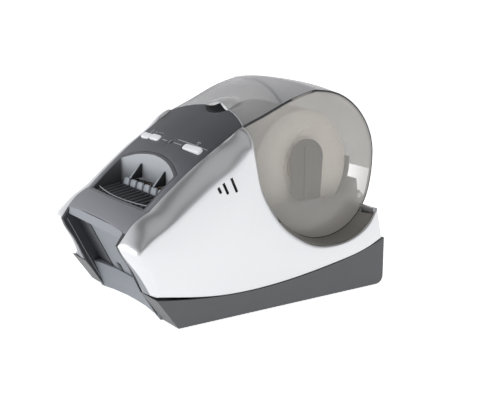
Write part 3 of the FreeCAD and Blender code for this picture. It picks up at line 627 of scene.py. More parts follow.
def outlet_plastic():
    """The outlet's curved wall: lighter high in the middle and darker towards the bottom, painted
    shade that turns its side walls black, and a dark rim.
    """
    r = Recipe("outlet plastic")
    colour = colours().outlet
    across = r.node("ShaderNodeMath", {"operation": "ABSOLUTE"}, {0: r.part_of("X")})
    # painted shade: the side walls are coloured black for the shade that falls on them
    side = r.between(across, 0.0330, 0.0374)
    up = r.node("ShaderNodeSeparateXYZ",
                inputs={"Vector": r.node("ShaderNodeNewGeometry", output="Normal")}, output="Z")
    rim = r.between(up, 0.35, 0.6)
    front = r.between(r.part_of("Y") * -1.0, 0.076, 0.079)
    speck = r.noise(0.5)
    low = r.between(r.part_of("Z"), 0.079, 0.094)
    light = r.tint(shaded(colour, 0.55), shaded(colour, 1.1), low)
    base = r.tint(light, (0.006, 0.006, 0.007), side)
    base = r.tint(base, (0.085, 0.088, 0.096), rim)
    base = r.tint(base, (0.14, 0.144, 0.158), front)
    return r.finish(Base_Color=base, Roughness=0.42 + speck * 0.1, Normal=r.bump(speck, 0.015))


# Moulded plastics: name, colour, roughness, depth of grain, size of grain, tone and coat
PLASTICS = {
    # nose_black: black plastic of the cheeks, and painted shade on the front wall beside the left
    # cheek
    "nose_black": ("nose black", (0.018, 0.02, 0.024), 0.5, 0.02),
    "nose_grey": ("nose grey", (0.17, 0.185, 0.205), 0.5, 0.02),
    "ledge": ("ledge plastic", (0.20, 0.19, 0.175), 0.5, 0.02),
    "lip": ("lip plastic", (0.24, 0.25, 0.275), 0.45, 0.015),
    "rib": ("rib plastic", (0.055, 0.058, 0.064), 0.5, 0.02),
    "rib_tip": ("rib tip", (0.16, 0.165, 0.175), 0.45, 0.015),
    "tooth": ("tooth plastic", (0.36, 0.385, 0.42), 0.4, 0.015),
    # light_line: pale edges of the fins and outlet ribs, and the painted highlight along the
    # cover's front edge
    "light_line": ("light line", (0.42, 0.44, 0.47), 0.4, 0.01),
    "mark": ("printed mark", (0.55, 0.56, 0.58), 0.55, 0.005),
    "button": ("button plastic", (0.92, 0.93, 0.95), 0.34, 0.01, 0.5, 0.04, 0.3),
    # recess: black plastic of the outlet fins, and painted shade in the button wells
    "recess": ("recess plastic", (0.008, 0.008, 0.01), 0.6, 0.02),
    "lamp": ("lamp lens", (0.02, 0.028, 0.022), 0.18, 0.004, 0.8, 0.05, 0.6),
    "spool": ("spool plastic", (0.012, 0.014, 0.018), 0.45, 0.015),
    "liner": ("liner plastic", (0.10, 0.105, 0.112), 0.55, 0.02),
    "ceramic": ("head ceramic", (0.20, 0.10, 0.05), 0.2, 0.004, 0.8, 0.1, 0.7),
    "gear": ("gear plastic", (0.72, 0.70, 0.63), 0.4, 0.01),
    "port": ("port plastic", (0.02, 0.02, 0.022), 0.55, 0.02),
}

MAKERS = {
    "silver": silver_lacquer,
    "panel": panel_plastic,
    "outlet": outlet_plastic,
    "paper": label_paper,
    "core": pressed_board,
    "board": circuit_board,
    "base": lambda: moulded("base plastic", colours().base, 0.5, 0.025, 0.6),
    "smoke": lambda: smoke_plastic("smoke sheet", colours().smoke, 0.6, 0.76),
    "smoke_side": lambda: smoke_plastic("smoke side", colours().smoke_side, 0.38, 0.74),
    "smoke_rim": lambda: smoke_plastic("smoke rim", (0.02, 0.021, 0.024), 0.9, 0.95),
    "steel": lambda: metal("bare steel", (0.56, 0.56, 0.57)),
    "bronze": lambda: metal("bearing bronze", (0.72, 0.52, 0.24), 0.35),
    "alloy": lambda: metal("extruded alloy", (0.72, 0.73, 0.74), 0.35, (1.0, 1.0, 0.06)),
    "platen": lambda: rubber("platen rubber", (0.035, 0.035, 0.037)),
    "foot": lambda: rubber("foot rubber", (0.02, 0.02, 0.021)),
}

FINISHES = {}


def finish(name):
    """The finish of that name, made once."""
    if name not in FINISHES:
        FINISHES[name] = moulded(*PLASTICS[name]) if name in PLASTICS else MAKERS[name]()
    return FINISHES[name]


def dress(name, looks, round_by=0.0):
    """Give a CAD node its finish, and soften its edges."""
    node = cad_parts[name]
    node.data.materials.clear()
    node.data.materials.append(finish(looks))
    if round_by:
        weld = node.modifiers.new("Weld", "WELD")
        weld.merge_threshold = 0.002 * MM
        edge = node.modifiers.new("Edges", "BEVEL")
        edge.width = round_by * MM
        edge.segments = 2
        edge.limit_method = "ANGLE"
        edge.angle_limit = math.radians(42)
        shade = node.modifiers.new("Shade", "WEIGHTED_NORMAL")
        shade.keep_sharp = False


# Silver sides

def side_ring(depth):
    """The side's outline at a share of the way from the seam to its outer face."""
    reach = sizes().edge_round / MM
    width = SIDE_X - SEAM_X
    turn = max(0.0, (depth * width - width + reach) / reach)
    drop = 1 - (1 - depth ** SHOULDER_CURVE) ** (1 / SHOULDER_CURVE)
    edge = reach * (1 - math.sqrt(max(0.0, 1 - turn ** 2)))
    points = []
    for group in SIDE_GROUPS:
        points += group[:-1]
    moved = inset_points(points, [s * drop + edge for s in SHOULDER])
    corners = [0]
    for group in SIDE_GROUPS:
        corners.append(corners[-1] + len(group) - 1)
    if depth > 0.02:
        del corners[2]
    ring = []
    for start, end in zip(corners, corners[1:]):
        stretch = [moved[k % len(moved)] for k in range(start, end + 1)]
        ring.append(spline(stretch, SIDE_STEPS)[:-1])
    apron_ends = (0, SIDE_STEPS * (len(APRON) - 1))
    ring = softened(np.vstack(ring), apron_ends, int(16 * depth))
    x = [seam_x(y) * (1 - depth) + side_x(y) * depth for y, _ in ring]
    return np.column_stack([x, ring])


def softened(ring, corners, rounds):
    """Round a closed ring near the corners, more with every round."""
    count = len(ring)
    for _ in range(rounds):
        middle = (np.roll(ring, 1, axis=0) + np.roll(ring, -1, axis=0)) / 2
        for corner in corners:
            for k in range(-9, 10):
                i = (corner + k) % count
                ring[i] += (middle[i] - ring[i]) * 0.8 * (1 - abs(k) / 10)
    return ring


def vent_loops():
    """Three slanted slots that grow to the rear, as (y, z) loops."""
    half = 0.95
    loops = []
    for start, end in (((-40.0, 89.0), (-38.0, 85.0)), ((-36.0, 91.0), (-33.0, 84.0)),
                       ((-30.5, 94.5), (-26.5, 84.5))):
        along = np.array(end) - np.array(start)
        heading = math.atan2(along[1], along[0])
        loop = []
        for middle, first in ((end, heading - math.pi / 2), (start, heading + math.pi / 2)):
            for a in np.linspace(first, first + math.pi, 7):
                loop.append((middle[0] + half * math.cos(a), middle[1] + half * math.sin(a)))
        loops.append(loop)
    return loops


def side_stock(mirror):
    """Rounded shoulder and bulged face of a silver side."""
    width = SIDE_X - SEAM_X
    reach = sizes().edge_round / MM / width
    depths = [math.sin(a) for a in np.linspace(0, math.asin(1 - reach), 14)]
    depths += [1 - reach * (1 - math.sin(a)) for a in np.linspace(0, math.pi / 2, 5)[1:]]
    rings = [side_ring(d) for d in depths]
    count = len(rings[0])
    # Under the cover's round side and along the base only the outer wall is there
    open_spans = [range(start * SIDE_STEPS, end * SIDE_STEPS)
                  for start, end in ((13, 21), (24, 29))]
    wall_from = next(k for k, d in enumerate(depths) if d * width >= width - WALL) - 1
    stock = Stock()
    faces = []
    for r in range(len(rings) - 1):
        for i in range(count):
            if r < wall_from and any(i in span for span in open_spans):
                continue
            j = (i + 1) % count
            faces.append((r * count + i, r * count + j, (r + 1) * count + j, (r + 1) * count + i))
    stock.add([p for ring in rings for p in ring], faces)
    outline = rings[-1][:, 1:]
    flat, triangles = filled(outline, vent_loops(), 5.0)
    bulge_reach = 32.0
    depth = np.clip(edge_distance(flat, outline) / bulge_reach, 0, 1)
    room = np.array([WIDEST - side_x(y) for y, _ in flat])
    bulge = np.minimum(sizes().side_bulge / MM, room) * depth * (2 - depth)
    stock.add([(side_x(y) + b, y, z) for (y, z), b in zip(flat, bulge)], triangles)
    if mirror:
        stock.verts = [(-x, y, z) for x, y, z in stock.verts]
    return stock


class SilverSides(bpy.types.Operator):
    """Build the two silver side panels with their rounded shoulders and vent slots"""

    bl_idname = "label_maker.silver_sides"
    bl_label = "Silver sides"

    def execute(self, context):
        for side, mirror in (("right", False), ("left", True)):
            piece(f"silver_side_{side}", side_stock(mirror), [finish("silver")],
                  stands_for=[f"side_panel_{side}"], thick=1.7)
        return {"FINISHED"}


# Control panel

def deck_rows():
    """Profiles of the crowned deck, from the middle to the side."""
    start = DECK[0][0]
    rows = []
    for t in np.linspace(0, 1, 41):
        lift = crown(t)
        apron = [(y, z + 0.7 * lift) for y, z in APRON[1:]]
        deck = [(y, z + lift * (0.7 + 0.3 * (y - start) / (SEAM_Y - start)))
                for y, z in DECK[:-1]]
        deck.append((seam_y(t), seam_z(t)))
        deck[0] = apron[-1]
        rows.append(np.vstack([spline(apron, 8), spline(deck, 8)[1:]]))
    return rows


DECK_ROWS = deck_rows()


def deck_z(x, y):
    """Height of the deck's surface."""
    place = min(abs(x) / (seam_x(y) - GAP), 1.0) * (len(DECK_ROWS) - 1)
    row = min(int(place), len(DECK_ROWS) - 2)
    share = place - row
    heights = [np.interp(y, DECK_ROWS[k][:, 0], DECK_ROWS[k][:, 1]) for k in (row, row + 1)]
    return heights[0] * (1 - share) + heights[1] * share


def bow(half, end, middle, steps):
    """Points of a shallow arc from -half to half, seen from above."""
    rise = middle - end
    radius = (half ** 2 + rise ** 2) / (2 * rise)
    centre = middle - radius
    return [(x, centre + math.copysign(math.sqrt(radius ** 2 - x * x), radius))
            for x in np.linspace(-half, half, steps + 1)]


def outlet_loop(grow):
    """Half-moon outline of the label outlet, seen from above."""
    half = OUTLET_HALF + grow
    rear, rear_middle = (y + grow for y in OUTLET_BACK)
    nose, nose_middle = (y - grow for y in OUTLET_FRONT)
    back = bow(half, rear, rear_middle, 28)
    front = bow(half, nose, nose_middle, 20)[::-1]
    right = [(half, y) for y in np.linspace(rear, nose, 8)[1:-1]]
    left = [(-half, y) for y in np.linspace(nose, rear, 8)[1:-1]]
    return back + right + front + left


def pad_loop(width, depth, corner, steps=5):
    """A rounded rectangle about the origin."""
    loop = []
    for k, (sx, sy) in enumerate(((1, 1), (-1, 1), (-1, -1), (1, -1))):
        cx, cy = sx * (width / 2 - corner), sy * (depth / 2 - corner)
        for a in np.linspace(k * math.pi / 2, (k + 1) * math.pi / 2, steps):
            loop.append((cx + corner * math.cos(a), cy + corner * math.sin(a)))
    return loop


def deck_lift(x):
    """Height of the crowned deck above its slope plane, along the row of buttons."""
    return 1.3 + 0.74 * crown(x / BUTTON_ROW_HALF)


def on_deck(u, v, w):
    """A point u across, v up the slope and w out of the deck's slope plane."""
    y = SEAM_Y + v * math.cos(SLOPE) - w * math.sin(SLOPE)
    z = SEAM_Z + v * math.sin(SLOPE) + w * math.cos(SLOPE)
    return u, y, z


def on_crown(u, v, w=0.0):
    """A point on the crowned deck itself, w above it."""
    _, y, _ = on_deck(u, v, deck_lift(u))
    return u, y - w * math.sin(SLOPE), deck_z(u, y) + w * math.cos(SLOPE)


def scoop_front(x):
    """How far forward the finger hollow cuts the panel at x, or None outside it."""
    cx, cy, cz, radius = SCOOP

    def inside(y):
        return (x - cx) ** 2 + (y - cy) ** 2 + (deck_z(x, y) - cz) ** 2 < radius ** 2

    rear = seam_y(x / (seam_x(-5) - GAP)) - REAR_GAP
    if not inside(rear):
        return None
    low, high = rear - 25, rear
    for _ in range(30):
        middle = (low + high) / 2
        if inside(middle):
            high = middle
        else:
            low = middle
    return high


def panel_outline():
    """The control panel's outline seen from above, with the finger hollow in its rear edge."""
    nose = APRON[1][0]
    right = [(seam_x(y) - GAP, y) for y in np.linspace(nose, seam_y(1) - REAR_GAP, 28)]
    rear = []
    for t in np.linspace(1, -1, 181)[1:-1]:
        y = seam_y(t) - REAR_GAP
        x = t * (seam_x(y) - GAP)
        front = scoop_front(x)
        rear.append((x, y if front is None else front))
    left = [(-x, y) for x, y in reversed(right)]
    front = [(x, nose) for x in np.linspace(left[-1][0], right[0][0], 20)[1:-1]]
    return right + rear + left + front


def slope_loop(x, width, depth, corner):
    """Outline of a slot across the deck, seen from above."""
    return [on_crown(x + u, BUTTON_V + v)[:2] for u, v in pad_loop(width, depth, corner)]


class ControlPanel(bpy.types.Operator):
    """Build the crowned control panel with its openings and the finger hollow"""

    bl_idname = "label_maker.control_panel"
    bl_label = "Control panel"

    def execute(self, context):
        holes = [outlet_loop(0.06)]
        for x, width, _ in BUTTONS.values():
            holes.append(slope_loop(x, width + 0.7, BUTTON_DEEP + 0.7, 1.9))
        holes.append(slope_loop(LAMP_X, 3.8, BUTTON_DEEP - 1.1, 1.0))
        flat, triangles = filled(panel_outline(), holes, 3.0)
        stock = Stock().add([(x, y, deck_z(x, y)) for x, y in flat], triangles)
        piece("control_panel_shell", stock, [finish("panel")], stands_for=["control_panel"],
              thick=2.4, round_by=sizes().panel_edge / MM)
        self.hollow()
        self.painted_shade_button_wells()
        return {"FINISHED"}

    def hollow(self):
        """The dished floor of the finger hollow."""
        cx, cy, cz, radius = SCOOP
        rows = []
        for x in np.linspace(cx - 16, cx + 16, 45):
            front = scoop_front(x)
            if front is None:
                continue
            row = []
            for y in np.linspace(front, cy + 6.5, 18):
                flat = radius ** 2 - (x - cx) ** 2 - (y - cy) ** 2
                row.append((x, y, cz - math.sqrt(max(flat, 0))))
            rows.append(row)
        stock = Stock().rings(rows, closed=False, caps=False)
        piece("finger_hollow", stock, [finish("panel")], thick=0.8)

    def painted_shade_button_wells(self):
        """Walls round the buttons in painted shade, black so that the gaps read as deep."""
        stock = Stock()
        for x, width, _ in BUTTONS.values():
            rings = [[on_crown(x + u, BUTTON_V + v, w)
                      for u, v in pad_loop(width + 0.9, BUTTON_DEEP + 0.9, 2.0)]
                     for w in (-0.5, -2.2)]
            stock.rings(rings, caps=False)
        # painted shade: the wells are black for the shade inside the button gaps
        piece("painted_shade_button_wells", stock, [finish("recess")], thick=0.15)


class PanelMarks(bpy.types.Operator):
    """Lay the plain signs and fine lines on the control panel"""

    bl_idname = "label_maker.panel_marks"
    bl_label = "Panel signs"

    def execute(self, context):
        fine, bold = 0.2, 0.22
        ring = [(-33 + 1.5 * math.cos(a), -25.6 + 1.5 * math.sin(a))
                for a in np.linspace(math.radians(125), math.radians(415), 18)]
        dashes = [((-22.6 + 1.9 * k, -25.6), (-21.6 + 1.9 * k, -25.6)) for k in range(4)]
        arrow = [(26.4, -24.2), (28.0, -26.6), (29.6, -24.2), (26.4, -24.2)]
        marks = [([(-27.2, -25.8), (-24.6, -25.8)], bold), (ring, fine),
                 ([(-33, -25.2), (-33, -23.4)], fine), *((dash, bold) for dash in dashes),
                 (arrow, fine), ([(6.5, -27.6), (40.5, -27.6)], bold),
                 ([(-10.0, BUTTON_V), (-3.5, BUTTON_V)], fine),
                 ([(5.2, BUTTON_V), (15.0, BUTTON_V)], fine)]
        stock = Stock()
        for path, half in marks:
            self.line(stock, path, half)
        piece("panel_signs", stock, [finish("mark")])
        return {"FINISHED"}

    def line(self, stock, path, half):
        """A flat printed line on the deck."""
        path = np.array(path, float)
        dense = [path[0]]
        for a, b in zip(path, path[1:]):
            steps = max(1, int(np.linalg.norm(b - a) / 2))
            dense += [a + (b - a) * k / steps for k in range(1, steps + 1)]
        rows = []
        for i, point in enumerate(dense):
            way = dense[min(i + 1, len(dense) - 1)] - dense[max(i - 1, 0)]
            way = way / max(np.linalg.norm(way), 1e-6)
            side = np.array((-way[1], way[0])) * half
            corners = []
            for edge, lift in ((side, 0.02), (side, 0.09), (-side, 0.09), (-side, 0.02)):
                corners.append(on_crown(*(point + edge), lift))
            rows.append(corners)
        stock.rings(rows)


class Buttons(bpy.types.Operator):
    """Build the three pale buttons and the status lamp"""

    bl_idname = "label_maker.buttons"
    bl_label = "Buttons"

    def execute(self, context):
        for name, (x, width, body) in BUTTONS.items():
            cap = self.pad(x, width, BUTTON_DEEP, 1.8, 0.45,
                           ((0, -4.2), (0, 0.55), (0.12, 0.95), (0.42, 1.18), (1.0, 1.27),
                            (1.8, 1.29)))
            piece(f"{name}_cap", cap, [finish("button")], body=body, stands_for=[name])
        lens = self.pad(LAMP_X, 3.6, BUTTON_DEEP - 1.2, 1, 0.2,
                        ((0, -3.4), (0, 0.1), (0.25, 0.3), (0.8, 0.35)))
        piece("lamp_lens", lens, [finish("lamp")], stands_for=["status_lamp"])
        return {"FINISHED"}

    def pad(self, x, width, depth, corner, smallest, steps):
        """A rounded pad in the deck; each step is an inset and a height over the crown."""
        rings = []
        for inset, w in steps:
            loop = pad_loop(width - 2 * inset, depth - 2 * inset, max(corner - inset, smallest))
            rings.append([on_deck(x + u, BUTTON_V + v, w + deck_lift(x)) for u, v in loop])
        return Stock().rings(rings)


# Label outlet

class LabelOutlet(bpy.types.Operator):
    """Build the outlet's ribbed floor, its teeth and its two guide fins"""

    bl_idname = "label_maker.label_outlet"
    bl_label = "Label outlet"

    def execute(self, context):
        dress("outlet_surround", "outlet", 0.3)
        self.floor()
        self.teeth()
        for side, s in SIDES:
            self.fin(side, s * 16.0)
        return {"FINISHED"}

    def floor(self):
        """Sloping floor with upright ribs, whose front ends are rounded."""
        stock = Stock()
        loop = [(x, y) for x, y in outlet_loop(-2.0) if y < -59.9]
        right = [(x, y) for x, y in loop if x > 0]
        left = [(x, y) for x, y in loop if x <= 0]
        loop = [(36.0, -60.0)] + right + left + [(-36.0, -60.0)]

        def floor_z(y):
            return 71.6 + (y + 84.0) * 3.4 / 24.0

        rings = [[(x, y, floor_z(y) - drop) for x, y in loop] for drop in (0.0, 1.9)]
        stock.rings(rings)
        for k in range(11):
            x = -30 + 6 * k
            front = -78.4 - 1.4 * (1 - (x / 36) ** 2)
            outline = [(-60.5, 74.7), (-60.5, 77.3), (front + 4.0, 75.1), (front + 1.2, 74.4),
                       (front + 0.3, 73.7), (front, 72.6), (front + 0.2, 71.9)]
            stock.prism(outline, x - 0.7, x + 0.7)
        tips = [(x, -73.2 - 4.2 * (1 - (x / 36) ** 2)) for x in np.linspace(-35.5, 35.5, 32)]
        rail = [(x, y, floor_z(y) + 2.1) for x, y in tips]
        stock.tube(rail, 0.42, kind=1)
        piece("outlet_floor", stock, [finish("rib"), finish("light_line")],
              stands_for=["outlet_tray"], round_by=0.25)

    def teeth(self):
        """Six blunt pale teeth on their bar."""
        stock = Stock()
        half_bar, count = 28, 6
        stock.prism([(-59.6, 73.2), (-57.0, 73.2), (-57.0, 77.0), (-59.6, 77.0)],
                    -half_bar, half_bar, kind=1)
        pitch = 2 * half_bar / count
        for k in range(count):
            x = -half_bar + pitch * (k + 0.5)
            rings = []
            for (y, z), half in (((-59.6, 75.6), 3.5), ((-59.4, 78.0), 3.4), ((-58.6, 80.8), 3.1),
                                 ((-58.2, 81.5), 2.7)):
                thick = 2.4 if z < 80 else 1.7
                rings.append([(x - half, y, z), (x + half, y, z), (x + half, y + thick, z - 0.2),
                              (x - half, y + thick, z - 0.2)])
            stock.rings(rings)
        piece("outlet_teeth", stock, [finish("tooth"), finish("rib")],
              stands_for=["tear_comb"], round_by=0.35)

    def fin(self, side, x):
        """A dark three-cornered fin with a pale rounded edge."""
        stock = Stock()
        stock.prism([(-51.8, 91.6), (-50.95, 91.6), (-50.95, 82.0), (-60.0, 82.0)],
                    x - 0.75, x + 0.75)
        stock.tube([(x, -51.4, 91.6), (x, -55.8, 87.0), (x, -59.9, 82.5)], 0.62, kind=1,
                   sides=10)
        piece(f"outlet_fin_{side}", stock, [finish("recess"), finish("light_line")],
              stands_for=[f"label_fin_{side}"], round_by=0.12)


# Nose

class Nose(bpy.types.Operator):
    """Build the lip, the cheeks and the recessed front wall under the nose"""

    bl_idname = "label_maker.nose"
    bl_label = "Nose"

    def execute(self, context):
        dress("front_lip", "lip", 0.35)
        dress("front_wall", "nose_grey", 0.3)
        self.painted_shade_plate()
        self.chin()
        for side, s in SIDES:
            dress(f"cheek_{side}", "nose_black", 0.3)
            self.step_line(side, s)
        return {"FINISHED"}

    def painted_shade_plate(self):
        """A black plate of painted shade on the front wall beside the left cheek, with two small
        catches.
        """
        lean, fall = 0.448, 0.894

        def on_wall(x, down, out):
            return (x, -89.0 + down * lean - out * fall, 54.5 - down * fall - out * lean)

        stock = Stock()
        # The first plate is painted shade beside the left cheek; the two small ones are catches.
        for x0, x1, top, low in ((-38.6, -19.0, -6.0, 53.0), (-9.0, -4.0, 30.0, 37.0),
                                 (-9.0, -2.0, 41.0, 43.0)):
            rings = []
            for out in (0.05, 0.55):
                rings.append([on_wall(x0, top, out), on_wall(x1, top, out),
                              on_wall(x1, low, out), on_wall(x0, low, out)])
            stock.rings(rings)
        piece("front_painted_shade_plate", stock, [finish("nose_black")], round_by=0.2)

    def chin(self):
        """The curved lower edge of the front, which comes forward towards the corners."""
        stock = Stock()
        rings = []
        for x, reach in ((-42.0, -71.4), (-30.0, -68.6), (-13.0, -66.4), (0.0, -66.2),
                         (13.0, -66.4), (30.0, -68.6), (42.0, -71.4)):
            back = reach + 3.6
            rings.append([(x, reach - 7.4, 21.5), (x, reach, 1.4), (x, reach + 0.6, 1.0),
                          (x, back, 1.0), (x, back, 3.0), (x, back - 7.0, 22.5)])
        stock.rings(rings)
        piece("front_chin", stock, [finish("nose_grey")], round_by=0.3)

    def step_line(self, side, s):
        """A fine raised line along the inner face of a cheek."""
        path = [(s * 38.75, y, z) for y, z in ((-96.8, 55.0), (-90.5, 42.5), (-84.6, 30.5),
                                               (-79.0, 19.5), (-73.8, 9.5))]
        piece(f"cheek_line_{side}", Stock().tube(spline(path, 4), 0.32), [finish("rib_tip")])


# Roll cover

def cover_lines(t):
    """Top, rear and front lines of the cover at a share of its half width."""
    lift = crown(t)
    top = [(y, z + lift) for y, z in COVER_TOP]
    top[0] = (seam_y(t), seam_z(t))
    top[1] = (top[1][0] + 1.5 * (1 - t * t), top[1][1] + 0.5 * (1 - t * t))
    rear = []
    for k in range(6):
        angle = math.radians(90 - 20 * k)
        y = COVER_Y + COVER_R * math.cos(angle)
        z = COVER_Z + COVER_R * math.sin(angle)
        rear.append((y, z + lift * max(z - COVER_Z, 0) / COVER_R))
    return spline(top, 8), spline(rear, 8)


def cover_side():
    """Outline of the cover's flat side, (y, z)."""
    top, rear = cover_lines(1.0)
    under = spline([tuple(rear[-1]), (93.6, 60.0), *reversed(COVER_UNDER)], 5)
    front = spline([COVER_UNDER[0], (5.8, 73.0), (0.8, 84.0), (-1.9, 95.0), (-4.2, 107.0),
                    (SEAM_Y, SEAM_Z)], 5)
    return np.vstack([top[:-1], rear[:-1], under[:-1], front[:-1]])


def brow(x, y):
    """Height of the raised brow over the finger hollow."""
    reach = ((x - 3.0) / 16.0) ** 2 + ((y - 3.5) / 10.0) ** 2
    return 3.6 * max(0.0, 1 - reach)


class RollCover(bpy.types.Operator):
    """Build the smoked cover: crowned sheet, bulging sides, rim, brow and hinge knuckles"""

    bl_idname = "label_maker.roll_cover"
    bl_label = "Roll cover"

    def execute(self, context):
        self.shell()
        self.rims()
        self.lip()
        self.knuckles()
        return {"FINISHED"}

    def shell(self):
        """The sheet over the top and down the rear, and the two round sides."""
        stock = Stock()
        rows = []
        for t in np.linspace(-1, 1, 61):
            top, rear = cover_lines(t)
            row = []
            for y, z in np.vstack([top[:-1], rear]):
                if z < SHEET_END:
                    break
                x = t * (seam_x(y) - COVER_GAP)
                row.append((x, y, z + brow(x, y)))
            rows.append(row)
        shortest = min(len(row) for row in rows)
        stock.rings([row[:shortest] for row in rows], closed=False, caps=False)
        outline = cover_side()
        flat, triangles = filled(outline, [], 4.0)
        bulge = sizes().cover_bulge / MM
        for s in (1, -1):
            verts = []
            for y, z in flat:
                reach = min(math.hypot(y - COVER_Y, z - COVER_Z) / 50.5, 1.0)
                half = seam_x(y) - COVER_GAP + bulge * (1 - reach ** 2) ** 1.3
                verts.append((s * half, y, z))
            stock.add(verts, triangles, 1)
        piece("smoke_cover", stock, [finish("smoke"), finish("smoke_side")], body="cover",
              stands_for=["roll_cover"], round_by=1.3, segments=4, crease=50)

    def rims(self):
        """The dark thick edge where the sheet meets each round side."""
        outline = cover_side()
        line = inset_points([tuple(p) for p in outline], [0.7] * len(outline))
        line += line[:2]
        for side, s in SIDES:
            path = [(s * (seam_x(y) - 0.95), y, z) for y, z in line]
            stock = Stock().tube(path, 1.0, sides=10)
            piece(f"cover_rim_{side}", stock, [finish("smoke_rim")], body="cover")

    def lip(self):
        """A pale tube along the sheet's front edge, beside the panel: a painted highlight on that
        edge.
        """
        path = []
        for t in np.linspace(-0.99, 0.99, 61):
            y = seam_y(t)
            x = t * (seam_x(y) - COVER_GAP)
            path.append((x, y + 0.2, seam_z(t) + brow(x, y) + 0.05))
        # painted highlight: the pale light_line finish stands for the highlight on the sheet's
        # edge
        piece("cover_edge_painted_highlight", Stock().tube(path, 0.35), [finish("light_line")], body="cover")

    def knuckles(self):
        """Two hinge knuckles at the rear of the cover."""
        stock = Stock()
        for x in (-30, 30):
            stock.turned([(2.05, x - 8), (4.0, x - 8), (4.0, x + 8), (2.05, x + 8)],
                         HINGE_Y, HINGE_Z, 32)
            stock.prism([(HINGE_Y - 1.5, HINGE_Z + 2.6), (HINGE_Y - 2.6, 70), (HINGE_Y + 2.2, 73),
                         (HINGE_Y + 3.6, HINGE_Z + 1.6)], x - 8, x + 8)
        piece("cover_knuckles", stock, [finish("smoke_rim")], body="cover",
              round_by=0.3)


# Label roll and its holder

class LabelRoll(bpy.types.Operator):
    """Build the roll of labels with its core, the spool arms and the trough"""

    bl_idname = "label_maker.label_roll"
    bl_label = "Label roll"

    def execute(self, context):
        stock = Stock()
        face = [(12.5, 30.6), (20, 30.9), (28, 30.75), (36, 30.95), (39.4, 30.8), (40, 30.2)]
        profile = face + [(40, 0)] + [(radius, -x) for radius, x in reversed(face)]
        stock.turned(profile, ROLL_Y, ROLL_Z, 128)
        piece("paper_roll", stock, [finish("paper")], body="roll", stands_for=["label_roll"],
              crease=30)
        dress("roll_core", "core", 0.3)
        dress("label_web", "paper")
        dress("roll_liner", "liner", 0.4)
        self.backstop()
        for side, s in SIDES:
            self.arm(side, s)
        return {"FINISHED"}

    def backstop(self):
        """A curved wall behind the roll, above its trough."""
        rings = []
        for angle in np.radians(np.linspace(-31, 4, 14)):
            ring = []
            for radius, x in ((41.0, -33.5), (41.0, 33.5), (41.9, 33.5), (41.9, -33.5)):
                ring.append((x, ROLL_Y + radius * math.cos(angle),
                             ROLL_Z + radius * math.sin(angle)))
            rings.append(ring)
        piece("roll_backstop", Stock().rings(rings), [finish("liner")],
              round_by=0.2)

    def arm(self, side, s):
        """A rounded upright arm with a hub, a rib and a turned boss."""
        stock = Stock()
        head = [(ROLL_Y + 14 * math.cos(a), ROLL_Z + 6 + 14 * math.sin(a))
                for a in np.linspace(-0.25, math.pi + 0.25, 26)]
        outline = head + [(ROLL_Y - 12.2, 62.0), (ROLL_Y - 10, 44.2), (ROLL_Y + 10, 44.2),
                          (ROLL_Y + 12.2, 62.0)]
        stock.prism(outline, s * 35.2, s * 37.8)
        stock.prism([(ROLL_Y - 3, 58), (ROLL_Y + 3, 58), (ROLL_Y + 3, ROLL_Z + 16),
                     (ROLL_Y - 3, ROLL_Z + 16)], s * 37.6, s * 39.2)
        stock.turned([(0.4, s * 26.0), (8.2, s * 26.0), (9.0, s * 26.8), (9.0, s * 35.4),
                      (0.4, s * 35.4)], ROLL_Y, ROLL_Z, 48)
        piece(f"spool_arm_{side}_piece", stock, [finish("spool")],
              stands_for=[f"spool_arm_{side}"], round_by=0.5)


# The rest of the housing and the inside

class BaseAndRear(bpy.types.Operator):
    """Finish the base, the feet, the ledges, the rear panel and the sockets"""

    bl_idname = "label_maker.base_and_rear"
    bl_label = "Base and rear"

    def execute(self, context):
        for name, looks, round_by in (("base_tray", "base", 0.5), ("rear_panel", "base", 0.4),
                                      ("power_inlet", "port", 0.3), ("usb_port", "port", 0.3),
                                      ("hinge_pin", "steel", 0.2), ("case_screws", "steel", 0.15)):
            dress(name, looks, round_by)
        for side, s in SIDES:
            self.ledge(side, s)
        self.feet()
        return {"FINISHED"}

    def ledge(self, side, s):
        """The crescent between the round side of the cover and the silver rim."""
        outer = spline(LEDGE, 5)
        inner = spline(COVER_UNDER, 5)
        share = np.linspace(0, 1, len(outer))
        inner = np.array([[np.interp(k, np.linspace(0, 1, len(inner)), inner[:, c])
                           for c in (0, 1)] for k in share])
        middle = np.array((COVER_Y, COVER_Z))
        rows = []
        for (oy, oz), point in zip(outer, inner):
            away = point - middle
            iy, iz = point + away / np.linalg.norm(away) * 0.7
            rows.append([(s * (seam_x(iy) - 1.5), iy, iz), (s * (seam_x(iy) + 1.0), iy, iz),
                         (s * (side_x(oy) - WALL - 4 * GAP), oy, oz)])
        stock = Stock().rings(rows, closed=False, caps=False)
        piece(f"rim_ledge_{side}", stock, [finish("ledge")], stands_for=[f"ledge_{side}"],
              thick=1.2)

    def feet(self):
        """Four turned rubber feet."""
        stock = Stock()
        for x, y in ((-48, -58), (48, -58), (-52, 84), (52, 84)):
            rings = []
            for r, z in ((4.5, 0.0), (4.9, 0.25), (5.0, 0.6), (5.0, 1.55)):
                rings.append([(x + r * math.cos(a), y + r * math.sin(a), z)
                              for a in np.linspace(0, 2 * math.pi, 32, endpoint=False)])
            stock.rings(rings)
        piece("feet", stock, [finish("foot")], stands_for=["rubber_feet"])


